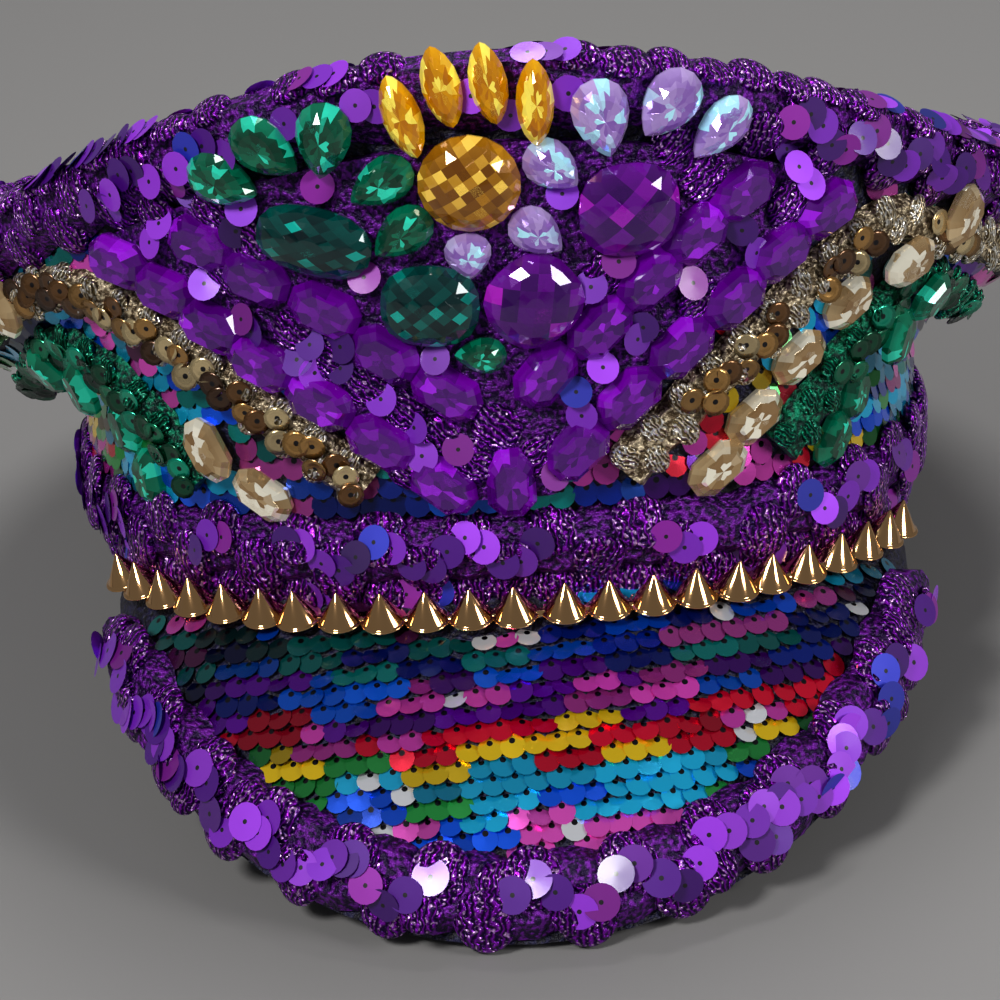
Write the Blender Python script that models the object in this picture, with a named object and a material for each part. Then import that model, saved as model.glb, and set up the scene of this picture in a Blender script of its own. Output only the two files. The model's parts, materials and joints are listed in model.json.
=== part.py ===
"""A peaked captain's cap covered with sequin braid, faceted stones and cone studs."""
import math
from collections import namedtuple

import bmesh
import bpy
import numpy as np
from mathutils import Matrix, Vector
from mathutils.bvhtree import BVHTree

MM = 0.001

# Head opening and band
BAND_HALF_WIDTH = 85.0 * MM
BAND_HALF_LENGTH = 98.0 * MM
BAND_SQUARENESS = 2.5
BAND_HEIGHT = 20.7 * MM
BAND_WALL = 3.0 * MM

# Crown, the cloth body above the band
CROWN_FOOT_HEIGHT = 21.0 * MM
CROWN_FOOT_OUT = 1.5 * MM
CROWN_HALF_WIDTH = 110.5 * MM
CROWN_FRONT_REACH = 111.5 * MM
CROWN_BACK_REACH = 114.0 * MM
CROWN_CENTRE_BACK = 2.0 * MM
CROWN_FRONT_HEIGHT = 104.0 * MM
CROWN_SIDE_HEIGHT = 62.0 * MM
CROWN_BACK_HEIGHT = 50.0 * MM
CROWN_MIDDLE_HEIGHT = 64.0 * MM
CROWN_WALL = 2.5 * MM
CROWN_COLUMNS = 54
WING_RIM = 24.5 * MM
WING_RIM_LEAN = 0.10
WING_RIM_BACK = 7.0 * MM
WING_POWER = 4.0
CORNER_SHARE = 0.7
WING_STARTS_DEG = 30.0
WING_FULL_DEG = 80.0
TOP_SHARES = (1.0, 0.62)
TOP_COLUMNS = 54

# Visor
VISOR_END_DEG = 54.0
VISOR_HALF_WIDTH = 79.5 * MM
VISOR_REACH = 140.0 * MM
VISOR_DROP = 50.0 * MM
VISOR_END_DROP = 5.0 * MM
VISOR_END_REACH = 3.0 * MM
VISOR_BULGE = 5.0 * MM
VISOR_WALL = 3.0 * MM
VISOR_ROOT_HEIGHT = 3.2 * MM
VISOR_FROM_BAND = 0.80 * MM

# Braids and trims
GAP = 0.35 * MM
STRIP_GAP = 0.60 * MM
VISOR_TRIM_GAP = 0.80 * MM
TRIM_HALF = 7.3 * MM
TRIM_RISE = 4.2 * MM
TRIM_WAVE = 1.1 * MM
TRIM_PITCH = 17.5 * MM
BAND_TRIM_HALF = 6.1 * MM
BAND_TRIM_HEIGHT = 13.4 * MM
BAND_TRIM_RISE = 3.6 * MM
EDGE_TRIM_DOWN = 9.6 * MM
EDGE_TRIM_IN = 7.0 * MM
FIELD_RISE = 2.6 * MM
LACE_HALF = 4.9 * MM
LACE_WING_HALF = 4.0 * MM
LACE_RISE = 3.0 * MM
LACE_END_DEG = 105.0
LACE_GAP = 0.85 * MM

# Cone studs
CONE_COUNT = 23
CONE_RADIUS = 3.5 * MM
CONE_HEIGHT = 6.3 * MM
CONE_FROM_BAND = 4.9 * MM
TAPE_HALF = 2.7 * MM
TAPE_RISE = 1.2 * MM

# Angle of each slanting line from the front centre, at four shares of the crown's height
Line = namedtuple("Line", "share gold champagne green octagons")
LINES_RIGHT = (
    Line(0.00, 9.0, 21.0, 27.5, 36.5),
    Line(0.30, 23.0, 31.5, 39.0, 44.0),
    Line(0.60, 36.5, 45.0, 51.0, 54.5),
    Line(0.85, 49.0, 56.0, 60.0, 64.0),
)
LINES_LEFT = (
    Line(0.00, 11.0, 24.5, 31.5, 42.0),
    Line(0.30, 26.0, 36.5, 41.5, 47.5),
    Line(0.60, 41.0, 50.0, 56.0, 61.5),
    Line(0.85, 56.0, 64.0, 69.0, 74.0),
)
LACE_FOOT_SHARE = 0.075
GREEN_WING_SHARE = 0.58
CHAMPAGNE_RIGHT = (0.05, 0.17, 0.32, 0.47, 0.63, 0.80)
CHAMPAGNE_LEFT = (0.05, 0.18, 0.75)
OCTAGONS_RIGHT = (0.06, 0.19, 0.37, 0.53)
OCTAGONS_LEFT = (0.06, 0.22, 0.38, 0.53)

# Rows of violet stones sewn into the front braid
FIELD_FOOT_SHARE = 0.035
FIELD_GAP = 0.80 * MM
FIELD_FROM_GOLD_DEG = 5.1
FIELD_LEFT_END_DEG = 43.5
FIELD_RIGHT_END_DEG = 38.5
FIELD_STONE_LONG = 12.2 * MM
FIELD_STONE_WIDE = 8.4 * MM
FIELD_STONE_RISE = 3.2 * MM
LINE_STONE_RISE = 3.6 * MM
FRONT_WALL_HEIGHT = CROWN_FRONT_HEIGHT - CROWN_FOOT_HEIGHT
FieldStone = namedtuple("FieldStone", "angle share turn")
FIELD_STONES = (
    FieldStone(0.5, 0.075, 90),
    FieldStone(7.4, 0.140, 42),
    FieldStone(12.9, 0.257, 44),
    FieldStone(18.4, 0.374, 44),
    FieldStone(23.9, 0.491, 42),
    FieldStone(28.9, 0.612, 40),
    FieldStone(34.4, 0.738, 38),
    FieldStone(4.6, 0.325, 50),
    FieldStone(10.2, 0.430, 46),
    FieldStone(15.2, 0.540, 44),
    FieldStone(19.8, 0.650, 42),
    FieldStone(24.6, 0.760, 40),
    FieldStone(-6.6, 0.080, 138),
    FieldStone(-12.4, 0.189, 144),
    FieldStone(-18.2, 0.298, 146),
    FieldStone(-23.9, 0.407, 146),
    FieldStone(-28.8, 0.517, 148),
    FieldStone(-33.6, 0.630, 148),
    FieldStone(-39.0, 0.742, 150),
    FieldStone(-5.4, 0.300, 142),
    FieldStone(-11.2, 0.400, 144),
    FieldStone(-16.6, 0.520, 148),
    FieldStone(-23.2, 0.620, 148),
    FieldStone(-28.6, 0.735, 148),
)

# Main stones: place on the crown, size in millimetres, turn of the long axis in degrees
Stone = namedtuple("Stone", "name cut angle share long wide rise turn colour")
STONES = (
    Stone("emerald_oval", "cushion", -16.6, 0.690, 22.0, 12.5, 5.2, -15, "emerald_dark"),
    Stone("emerald_cushion", "cushion", -6.2, 0.510, 18.0, 15.0, 5.5, -20, "emerald_dark"),
    Stone("violet_cushion_high", "cushion", 13.1, 0.710, 18.6, 17.0, 5.5, 20, "violet"),
    Stone("violet_cushion_low", "cushion", 3.8, 0.505, 17.5, 16.5, 5.5, 25, "violet"),
    Stone("amber_round", "cushion", -1.6, 0.780, 18.4, 17.6, 6.0, 0, "amber"),
    Stone("emerald_pear_1", "pear", -24.6, 0.880, 14.0, 9.4, 4.4, -35, "emerald"),
    Stone("emerald_pear_2", "pear", -20.0, 0.930, 14.0, 10.0, 4.4, -48, "emerald"),
    Stone("emerald_pear_3", "pear", -14.4, 0.920, 14.0, 10.4, 4.4, -110, "emerald"),
    Stone("emerald_pear_4", "pear", -9.7, 0.800, 13.0, 8.6, 4.2, -155, "emerald"),
    Stone("emerald_pear_5", "pear", -8.2, 0.680, 12.6, 8.6, 4.2, -147, "emerald"),
    Stone("emerald_pear_small", "pear", -1.7, 0.385, 9.4, 7.0, 3.6, 175, "emerald"),
    Stone("amber_marquise_1", "marquise", -7.1, 0.945, 15.6, 7.4, 4.4, 101, "amber"),
    Stone("amber_marquise_2", "marquise", -3.4, 1.000, 15.0, 7.4, 4.4, 99, "amber"),
    Stone("amber_marquise_3", "marquise", 0.7, 1.000, 15.0, 7.2, 4.4, 99, "amber"),
    Stone("amber_marquise_4", "marquise", 4.7, 0.955, 15.6, 7.2, 4.4, 93, "amber"),
    Stone("crystal_pear_1", "pear", 10.6, 0.920, 14.4, 10.6, 4.6, -72, "crystal"),
    Stone("crystal_pear_2", "pear", 16.8, 0.960, 13.8, 10.4, 4.6, -120, "crystal"),
    Stone("crystal_pear_3", "pear", 21.8, 0.915, 13.8, 8.4, 4.4, -125, "crystal"),
    Stone("crystal_pear_4", "pear", 6.1, 0.808, 11.4, 8.8, 4.4, -38, "crystal"),
    Stone("crystal_pear_5", "pear", 4.4, 0.660, 11.0, 8.4, 4.4, -38, "crystal"),
    Stone("crystal_pear_small", "pear", -2.2, 0.615, 8.6, 8.6, 4.0, -90, "crystal"),
)

COLOURS = {
    "band_cloth": (0.02, 0.015, 0.035),
    "rainbow_sequins": (0.10, 0.16, 0.45),
    "violet_lurex": (0.16, 0.03, 0.34),
    "gold_lurex": (0.62, 0.50, 0.28),
    "green_lurex": (0.01, 0.25, 0.15),
    "gold_metal": (0.80, 0.56, 0.30),
    "emerald_dark": (0.0, 0.07, 0.06),
    "emerald": (0.0, 0.30, 0.18),
    "amber": (0.80, 0.38, 0.01),
    "crystal": (0.66, 0.60, 0.86),
    "violet": (0.20, 0.01, 0.42),
    "champagne": (0.80, 0.68, 0.48),
}
METALLIC = {"gold_metal": 1.0, "gold_lurex": 0.6, "green_lurex": 0.4, "violet_lurex": 0.4}


def material(name):
    """The Principled material of that name, made at its first use."""
    found = bpy.data.materials.get(name)
    if found:
        return found
    mat = bpy.data.materials.new(name)
    mat.use_nodes = True
    shader = mat.node_tree.nodes["Principled BSDF"]
    shader.inputs["Base Color"].default_value = (*COLOURS[name], 1.0)
    shader.inputs["Metallic"].default_value = METALLIC.get(name, 0.0)
    shader.inputs["Roughness"].default_value = 0.35
    mat.diffuse_color = (*COLOURS[name], 1.0)
    return mat


def make_object(name, colour, points, faces, smooth=True):
    """Build one closed mesh object whose faces look outward."""
    mesh = bpy.data.meshes.new(name)
    mesh.from_pydata([tuple(p) for p in points], [], faces)
    mesh.validate()
    bm = bmesh.new()
    bm.from_mesh(mesh)
    bmesh.ops.recalc_face_normals(bm, faces=bm.faces)
    bm.to_mesh(mesh)
    bm.free()
    mesh.polygons.foreach_set("use_smooth", [smooth] * len(mesh.polygons))
    mesh.materials.append(material(colour))
    obj = bpy.data.objects.new(name, mesh)
    bpy.context.scene.collection.objects.link(obj)
    return obj


def tree_of(objects):
    """A search tree over the triangles of several objects."""
    points = []
    faces = []
    for obj in objects:
        start = len(points)
        points.extend(v.co.copy() for v in obj.data.vertices)
        obj.data.calc_loop_triangles()
        faces.extend(tuple(start + k for k in tri.vertices) for tri in obj.data.loop_triangles)
    return BVHTree.FromPolygons(points, faces), np.array([tuple(p) for p in points])


def smooth_step(value, low, high):
    """Rise from 0 to 1 between two values without a kink."""
    t = min(max((value - low) / (high - low), 0.0), 1.0)
    return t * t * (3 - 2 * t)


def ring_point(angle, height=0.0, out=0.0):
    """A point of the band's outer face; angle 0 is the front centre, +90 degrees the wearer's left."""
    s = math.sin(angle)
    c = math.cos(angle)
    n = BAND_SQUARENESS
    wide = BAND_HALF_WIDTH + out
    deep = BAND_HALF_LENGTH + out
    r = (abs(s / wide) ** n + abs(c / deep) ** n) ** (-1.0 / n)
    return Vector((r * s, -r * c, height))


def crown_edge(angle):
    """A point of the crown's top edge."""
    s = math.sin(angle)
    c = math.cos(angle)
    if c > 0:
        z = CROWN_SIDE_HEIGHT + (CROWN_FRONT_HEIGHT - CROWN_SIDE_HEIGHT) * c ** 2
        reach = CROWN_FRONT_REACH
    else:
        z = CROWN_SIDE_HEIGHT + (CROWN_BACK_HEIGHT - CROWN_SIDE_HEIGHT) * abs(c) ** 1.6
        reach = CROWN_BACK_REACH
    return Vector((CROWN_HALF_WIDTH * s, CROWN_CENTRE_BACK - reach * c, z))


def crown_point(angle, share):
    """A point of the crown's outer face; share 0 is the band seam and 1 the top edge."""
    foot = ring_point(angle, CROWN_FOOT_HEIGHT, CROWN_FOOT_OUT)
    edge = crown_edge(angle)
    wing = smooth_step(abs(math.degrees(angle)), WING_STARTS_DEG, WING_FULL_DEG)
    rim = WING_RIM * (1 - WING_RIM_LEAN * math.sin(angle)) - WING_RIM_BACK * max(0.0, -math.cos(angle))
    drop = rim * wing + (1 - wing) * (1 - CORNER_SHARE) * (edge.z - foot.z)
    low = edge - Vector((0, 0, drop))
    middle = foot.lerp(edge, CORNER_SHARE)
    corner = middle.lerp(low, wing)
    if share > CORNER_SHARE:
        return corner.lerp(edge, (share - CORNER_SHARE) / (1 - CORNER_SHARE))
    k = max(share, 0.0) / CORNER_SHARE
    out = k ** (1 + (WING_POWER - 1) * wing)
    step = corner - foot
    return foot + Vector((step.x * out, step.y * out, step.z * k))


def visor_end(turn):
    """A point of the visor's outer edge; turn runs from -90 to 90 degrees."""
    root_end = ring_point(math.radians(VISOR_END_DEG))
    c = max(math.cos(turn), 0.0)
    y = root_end.y - VISOR_END_REACH
    y += (-VISOR_REACH - y) * c
    z = -VISOR_END_DROP - (VISOR_DROP - VISOR_END_DROP) * c
    return Vector((VISOR_HALF_WIDTH * math.sin(turn), y, z))


def visor_point(turn, share):
    """A point of the visor's upper face; share 0 is the seam and 1 the outer edge."""
    root = ring_point(turn * VISOR_END_DEG / 90.0, VISOR_ROOT_HEIGHT, VISOR_FROM_BAND)
    c = max(math.cos(turn), 0.0)
    bulge = Vector((0.4 * math.sin(turn), -0.7 * c - 0.2, 0.7)).normalized()
    rise = VISOR_BULGE * math.sqrt(c) * math.sin(math.pi * share)
    return root.lerp(visor_end(turn), share) + bulge * rise


def normal_of(surface, u, v, du=0.004, dv=0.004):
    """The outward normal of a surface of two values."""
    v0 = max(v - dv, 0.0)
    v1 = min(v + dv, 1.0)
    along = surface(u + du, v) - surface(u - du, v)
    up = surface(u, v1) - surface(u, v0)
    return along.cross(up).normalized()


def shell(name, colour, outer, inner, closed):
    """One body between two grids of points; a closed grid joins its last column to its first."""
    rows = len(outer)
    cols = len(outer[0])
    points = [p for row in outer for p in row] + [p for row in inner for p in row]
    half = rows * cols
    spans = cols if closed else cols - 1
    faces = []
    for side in (0, 1):
        base = side * half
        for i in range(rows - 1):
            for j in range(spans):
                k = (j + 1) % cols
                a = base + i * cols
                b = a + cols
                quad = (a + j, a + k, b + k, b + j)
                faces.append(quad if side == 0 else quad[::-1])
    for i in (0, rows - 1):
        for j in range(spans):
            k = (j + 1) % cols
            a = i * cols
            faces.append((a + j, half + a + j, half + a + k, a + k))
    if not closed:
        for j in (0, cols - 1):
            for i in range(rows - 1):
                a = i * cols + j
                b = a + cols
                faces.append((a, b, half + b, half + a))
    return make_object(name, colour, points, faces)


def angles_round(count):
    """Evenly spaced angles for a closed ring."""
    return [math.tau * i / count - math.pi for i in range(count)]


# Headband
def make_headband():
    ring = angles_round(48)
    outer = [[ring_point(a, z) for a in ring] for z in (0.0, BAND_HEIGHT)]
    inner = [[ring_point(a, z, -BAND_WALL) for a in ring] for z in (0.0, BAND_HEIGHT)]
    return shell("headband", "band_cloth", outer, inner, True)


# Crown sides and crown top
def make_crown_sides():
    ring = angles_round(CROWN_COLUMNS)
    shares = (0.0, 0.30, 0.50, 0.62, CORNER_SHARE, 0.85, 1.0)
    outer = [[crown_point(a, t) for a in ring] for t in shares]
    inner = []
    for t in shares:
        inner.append([crown_point(a, t) - normal_of(crown_point, a, t) * CROWN_WALL for a in ring])
    inner[0] = [Vector((p.x, p.y, CROWN_FOOT_HEIGHT)) for p in inner[0]]
    return shell("crown_sides", "rainbow_sequins", outer, inner, True)


def top_point(angle, share):
    """A point of the crown's top panel; share 1 is its rim and 0 its middle."""
    rim = crown_edge(angle)
    face = normal_of(crown_point, angle, 1.0)
    face.z = 0
    inset = CROWN_WALL + (0.5 + 0.4 * max(math.cos(angle), 0.0)) * MM
    rim = rim - face.normalized() * inset
    z = CROWN_MIDDLE_HEIGHT + (rim.z - 0.2 * MM - CROWN_MIDDLE_HEIGHT) * share ** 2
    middle = Vector((0, CROWN_CENTRE_BACK, 0))
    flat = middle.lerp(Vector((rim.x, rim.y, 0)), share)
    return Vector((flat.x, flat.y, z))


def make_crown_top():
    ring = angles_round(TOP_COLUMNS)
    upper = [[top_point(a, s) for a in ring] for s in TOP_SHARES]
    lower = [[p - Vector((0, 0, 2.8 * MM)) for p in row] for row in upper]
    cols = TOP_COLUMNS
    rows = len(TOP_SHARES)
    half = rows * cols
    points = [p for row in upper for p in row] + [p for row in lower for p in row]
    centre = Vector((0, CROWN_CENTRE_BACK, CROWN_MIDDLE_HEIGHT))
    points += [centre, centre - Vector((0, 0, 2.8 * MM))]
    faces = []
    for j in range(cols):
        k = (j + 1) % cols
        faces.append((j, half + j, half + k, k))
        for base in (0, half):
            for i in range(rows - 1):
                a = base + i * cols
                b = a + cols
                faces.append((a + j, a + k, b + k, b + j))
            a = base + (rows - 1) * cols
            faces.append((a + j, a + k, 2 * half + (base > 0)))
    return make_object("crown_top", "rainbow_sequins", points, faces)


# Visor
def make_visor():
    turns = [math.radians(-90 + 180 * i / 28) for i in range(29)]
    shares = (0.0, 0.2, 0.45, 0.72, 1.0)
    outer = [[visor_point(t, s) for t in turns] for s in shares]
    inner = []
    for s in shares:
        row = []
        for t in turns:
            t_in = min(max(t, math.radians(-86)), math.radians(86))
            normal = -normal_of(visor_point, t_in, s)
            down = Vector((0, 0, 1)).lerp(normal, s).normalized()
            row.append(visor_point(t, s) - down * VISOR_WALL)
        inner.append(row)
    return shell("visor", "rainbow_sequins", outer, inner, False)


# Sewn strips
def sweep(name, colour, sections, closed):
    """Join equal cross-sections into one body."""
    size = len(sections[0])
    points = [p for section in sections for p in section]
    count = len(sections)
    faces = []
    for i in range(count if closed else count - 1):
        a = i * size
        b = ((i + 1) % count) * size
        for j in range(size):
            k = (j + 1) % size
            faces.append((a + j, a + k, b + k, b + j))
    if not closed:
        faces.append(tuple(range(size)))
        faces.append(tuple((count - 1) * size + j for j in range(size)))
    return make_object(name, colour, points, faces)


def resample(points, step, closed=False):
    """Points at nearly equal steps along a path, an even number of steps if it is closed."""
    path = list(points) + ([points[0]] if closed else [])
    lengths = [0.0]
    for a, b in zip(path, path[1:]):
        lengths.append(lengths[-1] + (b - a).length)
    count = max(2, round(lengths[-1] / step))
    count += count % 2
    found = []
    for i in range(count if closed else count + 1):
        want = lengths[-1] * i / count
        k = min(max(np.searchsorted(lengths, want), 1), len(path) - 1)
        part = (want - lengths[k - 1]) / max(lengths[k] - lengths[k - 1], 1e-9)
        found.append(path[k - 1].lerp(path[k], part))
    return found


def seat(tree, point, facing, lift):
    """The point of the cloth below a place, raised by a lift along the cloth's own face."""
    where, normal, _, _ = tree.find_nearest(point)
    if normal.dot(facing) < 0:
        normal = -normal
    normal = (normal + facing).normalized()
    return where + normal * lift


def strip(name, colour, tree, path, normals, half, rise, wave, gap, closed=False):
    """A domed braid laid on the cloth; its middle line swings from side to side by the wave."""
    count = len(path)
    sections = []
    for i, (p, n) in enumerate(zip(path, normals)):
        before = path[(i - 1) % count] if closed or i > 0 else p
        after = path[(i + 1) % count] if closed or i < count - 1 else p
        along = (after - before).normalized()
        side = n.cross(along).normalized()
        swing = wave * (1 if i % 2 else -1)
        width = half[i] if isinstance(half, list) else half
        section = []
        for across, lift in ((-1, 0), (0, 0), (1, 0), (0.62, 0.88), (0, 1), (-0.62, 0.88)):
            base = p + side * (swing + across * width)
            section.append(seat(tree, base, n, gap + lift * rise))
        sections.append(section)
    return sweep(name, colour, sections, closed)


def along_crown(pairs, step):
    """Path points on the crown, their outward normals and their angles, from angle and share pairs."""
    fine = []
    for (a0, t0), (a1, t1) in zip(pairs, pairs[1:]):
        for i in range(4):
            q = i / 4
            fine.append((a0 + (a1 - a0) * q, t0 + (t1 - t0) * q))
    fine.append(pairs[-1])
    spots = [crown_point(math.radians(a), t) for a, t in fine]
    path = resample(spots, step)
    normals = []
    angles = []
    for p in path:
        k = min(range(len(spots)), key=lambda i: (spots[i] - p).length)
        normals.append(normal_of(crown_point, math.radians(fine[k][0]), fine[k][1], 0.03, 0.04))
        angles.append(fine[k][0])
    return path, normals, angles


def line_angle(lines, column, share):
    """The angle of one slanting line at a share of the crown's height."""
    shares = [row.share for row in lines]
    values = [getattr(row, column) for row in lines]
    return float(np.interp(share, shares, values))


def make_lace(name, colour, tree, side, column):
    """A slanting braid that climbs from the band and runs on along the wing."""
    lines = LINES_RIGHT if side > 0 else LINES_LEFT
    first = line_angle(lines, column, LACE_FOOT_SHARE)
    below = EDGE_TRIM_DOWN + TRIM_WAVE + LACE_WING_HALF + 1.4 * MM
    angles = [getattr(row, column) for row in lines]
    shares = [row.share for row in lines]
    pairs = []
    for i in range(25):
        a = first + (LACE_END_DEG - first) * i / 24
        climb = float(np.interp(a, angles, shares))
        cap = share_below_edge(math.radians(a) * side, below)
        if column == "green":
            cap = GREEN_WING_SHARE
        pairs.append((side * a, min(climb, cap)))
    path, normals, spread = along_crown(pairs, 7.0 * MM)
    half = [LACE_HALF + (LACE_WING_HALF - LACE_HALF) * smooth_step(abs(a), 40, 55) for a in spread]
    return strip(name, colour, tree, path, normals, half, LACE_RISE, 0.5 * MM, LACE_GAP)


def make_band_trim(tree):
    ring = [ring_point(math.radians(a), BAND_TRIM_HEIGHT) for a in range(-180, 180, 3)]
    path = resample(ring, TRIM_PITCH / 2, True)
    normals = []
    for i, p in enumerate(path):
        along = path[(i + 1) % len(path)] - path[i - 1]
        normals.append(along.cross(Vector((0, 0, 1))).normalized())
    half, rise = BAND_TRIM_HALF, BAND_TRIM_RISE
    return strip("band_trim", "violet_lurex", tree, path, normals, half, rise, TRIM_WAVE, STRIP_GAP, True)


def visor_share_from_edge(turn, distance):
    """The share of the visor that lies a distance inside its outer edge."""
    pieces = 24
    walked = 0.0
    for i in range(pieces, 0, -1):
        a = visor_point(turn, i / pieces)
        b = visor_point(turn, (i - 1) / pieces)
        step = (a - b).length
        if walked + step >= distance:
            return (i - (distance - walked) / step) / pieces
        walked += step
    return 0.0


def make_visor_trim(tree):
    """The braid along the visor's edge; it narrows where the cone studs leave it less room."""
    turns = [math.radians(-80 + 2 * i) for i in range(81)]
    halves = []
    shares = []
    for t in turns:
        length = (visor_point(t, 1.0) - visor_point(t, 0.0)).length
        room = length - CONE_FROM_BAND - CONE_RADIUS - 2 * TRIM_WAVE - 1.2 * MM
        halves.append(min(TRIM_HALF, room / 2))
        shares.append(visor_share_from_edge(t, halves[-1] + TRIM_WAVE + 0.5 * MM))
    spots = [visor_point(t, s) for t, s in zip(turns, shares)]
    path = resample(spots, TRIM_PITCH / 4)
    count = len(path)
    sections = []
    for i, p in enumerate(path):
        k = min(range(len(spots)), key=lambda j: (spots[j] - p).length)
        n = -normal_of(visor_point, turns[k], shares[k])
        along = (path[min(i + 1, count - 1)] - path[max(i - 1, 0)]).normalized()
        side = n.cross(along).normalized()
        swing = TRIM_WAVE * math.sin(math.tau * i / 4 + 0.8)
        section = []
        for across, lift in ((-1, 0), (0, 0), (1, 0), (0.62, 0.88), (0, 1), (-0.62, 0.88)):
            base = p + side * (swing + across * halves[k])
            section.append(seat(tree, base, n, VISOR_TRIM_GAP + lift * TRIM_RISE))
        sections.append(section)
    return sweep("visor_trim", "violet_lurex", sections, False)


def share_below_edge(angle, distance):
    """The crown's share at a distance below its top edge."""
    wall = (crown_point(angle, 1.0) - crown_point(angle, CORNER_SHARE)).length
    return 1 - (1 - CORNER_SHARE) * distance / wall


def make_edge_trim():
    """The braid folded over the crown's top edge, outside, over and inside."""
    edge = [crown_edge(math.radians(a)) for a in range(-180, 180, 3)]
    path = resample(edge, TRIM_PITCH / 2, True)
    sections = []
    for i, p in enumerate(path):
        angle = math.atan2(p.x / CROWN_HALF_WIDTH, -(p.y - CROWN_CENTRE_BACK) / CROWN_FRONT_REACH)
        if p.y > CROWN_CENTRE_BACK:
            angle = math.atan2(p.x / CROWN_HALF_WIDTH, -(p.y - CROWN_CENTRE_BACK) / CROWN_BACK_REACH)
        swing = TRIM_WAVE * (1 if i % 2 else -1)
        top = crown_edge(angle)
        down = EDGE_TRIM_DOWN + swing
        foot = crown_point(angle, share_below_edge(angle, down))
        belly = crown_point(angle, share_below_edge(angle, 0.55 * down))
        out = normal_of(crown_point, angle, 0.9)
        flat = Vector((out.x, out.y, 0)).normalized()
        rim = top_point(angle, TOP_SHARES[0])
        slope = top_point(angle, TOP_SHARES[1]) - rim
        level = math.hypot(slope.x, slope.y)
        inner = rim + slope * ((EDGE_TRIM_IN - CROWN_WALL - swing) / level)
        crest = rim + slope * (0.1 * EDGE_TRIM_IN / level)
        up = Vector((0, 0, 1))
        sections.append([
            foot + out * STRIP_GAP,
            belly + out * TRIM_RISE,
            top + flat * 3.0 * MM + up * 2.6 * MM,
            crest.lerp(top, 0.5) + up * 4.6 * MM,
            inner + up * (GAP + 0.4 * MM),
            top - flat * CROWN_WALL + up * (STRIP_GAP + 0.4 * MM),
            top + flat * STRIP_GAP + up * STRIP_GAP,
        ])
    return sweep("crown_edge_trim", "violet_lurex", sections, True)


# Cut stones
def outline(cut, length, width):
    """Corners of a stone seen from above; the long axis is X and a pear's point looks to +X."""
    if cut == "octagon":
        a = length / 2
        b = width / 2
        c = 0.30 * width
        upper = [(a, b - c), (a - c, b), (-a + c, b), (-a, b - c)]
        return [(a, -b + c)] + upper + [(-a, -b + c), (-a + c, -b), (a - c, -b)]
    if cut == "cushion":
        return [(length / 2 * math.cos(q), width / 2 * math.sin(q))
                for q in (math.tau * (i + 0.5) / 12 for i in range(12))]
    if cut == "marquise":
        shape = ((0.5, 0.0), (0.33, 0.30), (0.12, 0.47), (-0.12, 0.47), (-0.33, 0.30), (-0.5, 0.0))
        upper = [(x * length, y * width) for x, y in shape]
        return upper + [(x, -y) for x, y in upper[-2:0:-1]]
    shape = ((0.5, 0.0), (0.27, 0.27), (0.03, 0.45), (-0.22, 0.49), (-0.42, 0.32), (-0.5, 0.0))
    upper = [(x * length, y * width) for x, y in shape]
    return upper + [(x, -y) for x, y in upper[-2:0:-1]]


def cut_levels(cut):
    """Scale and height share of the rings from the flat back to the table."""
    if cut == "cushion":
        return ((0.93, 0.0), (1.0, 0.30), (0.80, 0.74), (0.42, 1.0))
    if cut == "octagon":
        return ((0.95, 0.0), (1.0, 0.35), (0.60, 1.0))
    return ((0.92, 0.0), (1.0, 0.34), (0.52, 1.0))


def stone_mesh(cut, length, width, rise, frame):
    """Corners and flat facets of one stone placed by a frame."""
    shape = outline(cut, length, width)
    levels = cut_levels(cut)
    count = len(shape)
    points = []
    for scale, height in levels:
        points += [frame @ Vector((x * scale, y * scale, height * rise)) for x, y in shape]
    faces = [tuple(range(count))[::-1], tuple(range((len(levels) - 1) * count, len(levels) * count))]
    for r in range(len(levels) - 1):
        for j in range(count):
            k = (j + 1) % count
            a = r * count
            b = a + count
            faces.append((a + j, a + k, b + k, b + j))
    return points, faces


def crown_frame(angle, share, turn):
    """Axes on the crown: X along the stone's long axis, Z outward."""
    a = math.radians(angle)
    out = normal_of(crown_point, a, min(share, 0.96), 0.02, 0.03)
    level = (crown_point(a + 0.01, share) - crown_point(a - 0.01, share))
    level = (level - out * level.dot(out)).normalized()
    up = out.cross(level)
    q = math.radians(turn)
    x = level * math.cos(q) + up * math.sin(q)
    y = out.cross(x)
    frame = Matrix((x, y, out)).transposed().to_4x4()
    where = crown_point(a, min(share, 1.0)) + up * max(share - 1.0, 0.0) * FRONT_WALL_HEIGHT
    frame.translation = where
    return frame


def inside(shape, x, y, slack=0.4 * MM):
    """Whether places lie within a convex outline, for arrays of x and y."""
    keep = np.ones(len(x), bool)
    for (x0, y0), (x1, y1) in zip(shape, shape[1:] + shape[:1]):
        dx = x1 - x0
        dy = y1 - y0
        size = math.hypot(dx, dy)
        keep &= (dx * (y - y0) - dy * (x - x0)) / size > -slack
    return keep


def top_of(tree, corners, frame, shape):
    """Height of the highest material under an outline, along the frame's Z."""
    back = frame.inverted()
    local = corners @ np.array(back.to_3x3()).T + np.array(back.translation)
    near = inside(shape, local[:, 0], local[:, 1]) & (np.abs(local[:, 2]) < 14 * MM)
    highest = float(local[near, 2].max()) if near.any() else -1.0
    down = -(frame.to_3x3() @ Vector((0, 0, 1)))
    for scale in (0.0, 0.35, 0.7, 0.95, 1.02):
        for x, y in shape:
            start = frame @ Vector((x * scale, y * scale, 14 * MM))
            hit, _, _, distance = tree.ray_cast(start, down, 28 * MM)
            if hit:
                highest = max(highest, 14 * MM - distance)
    return highest


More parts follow.
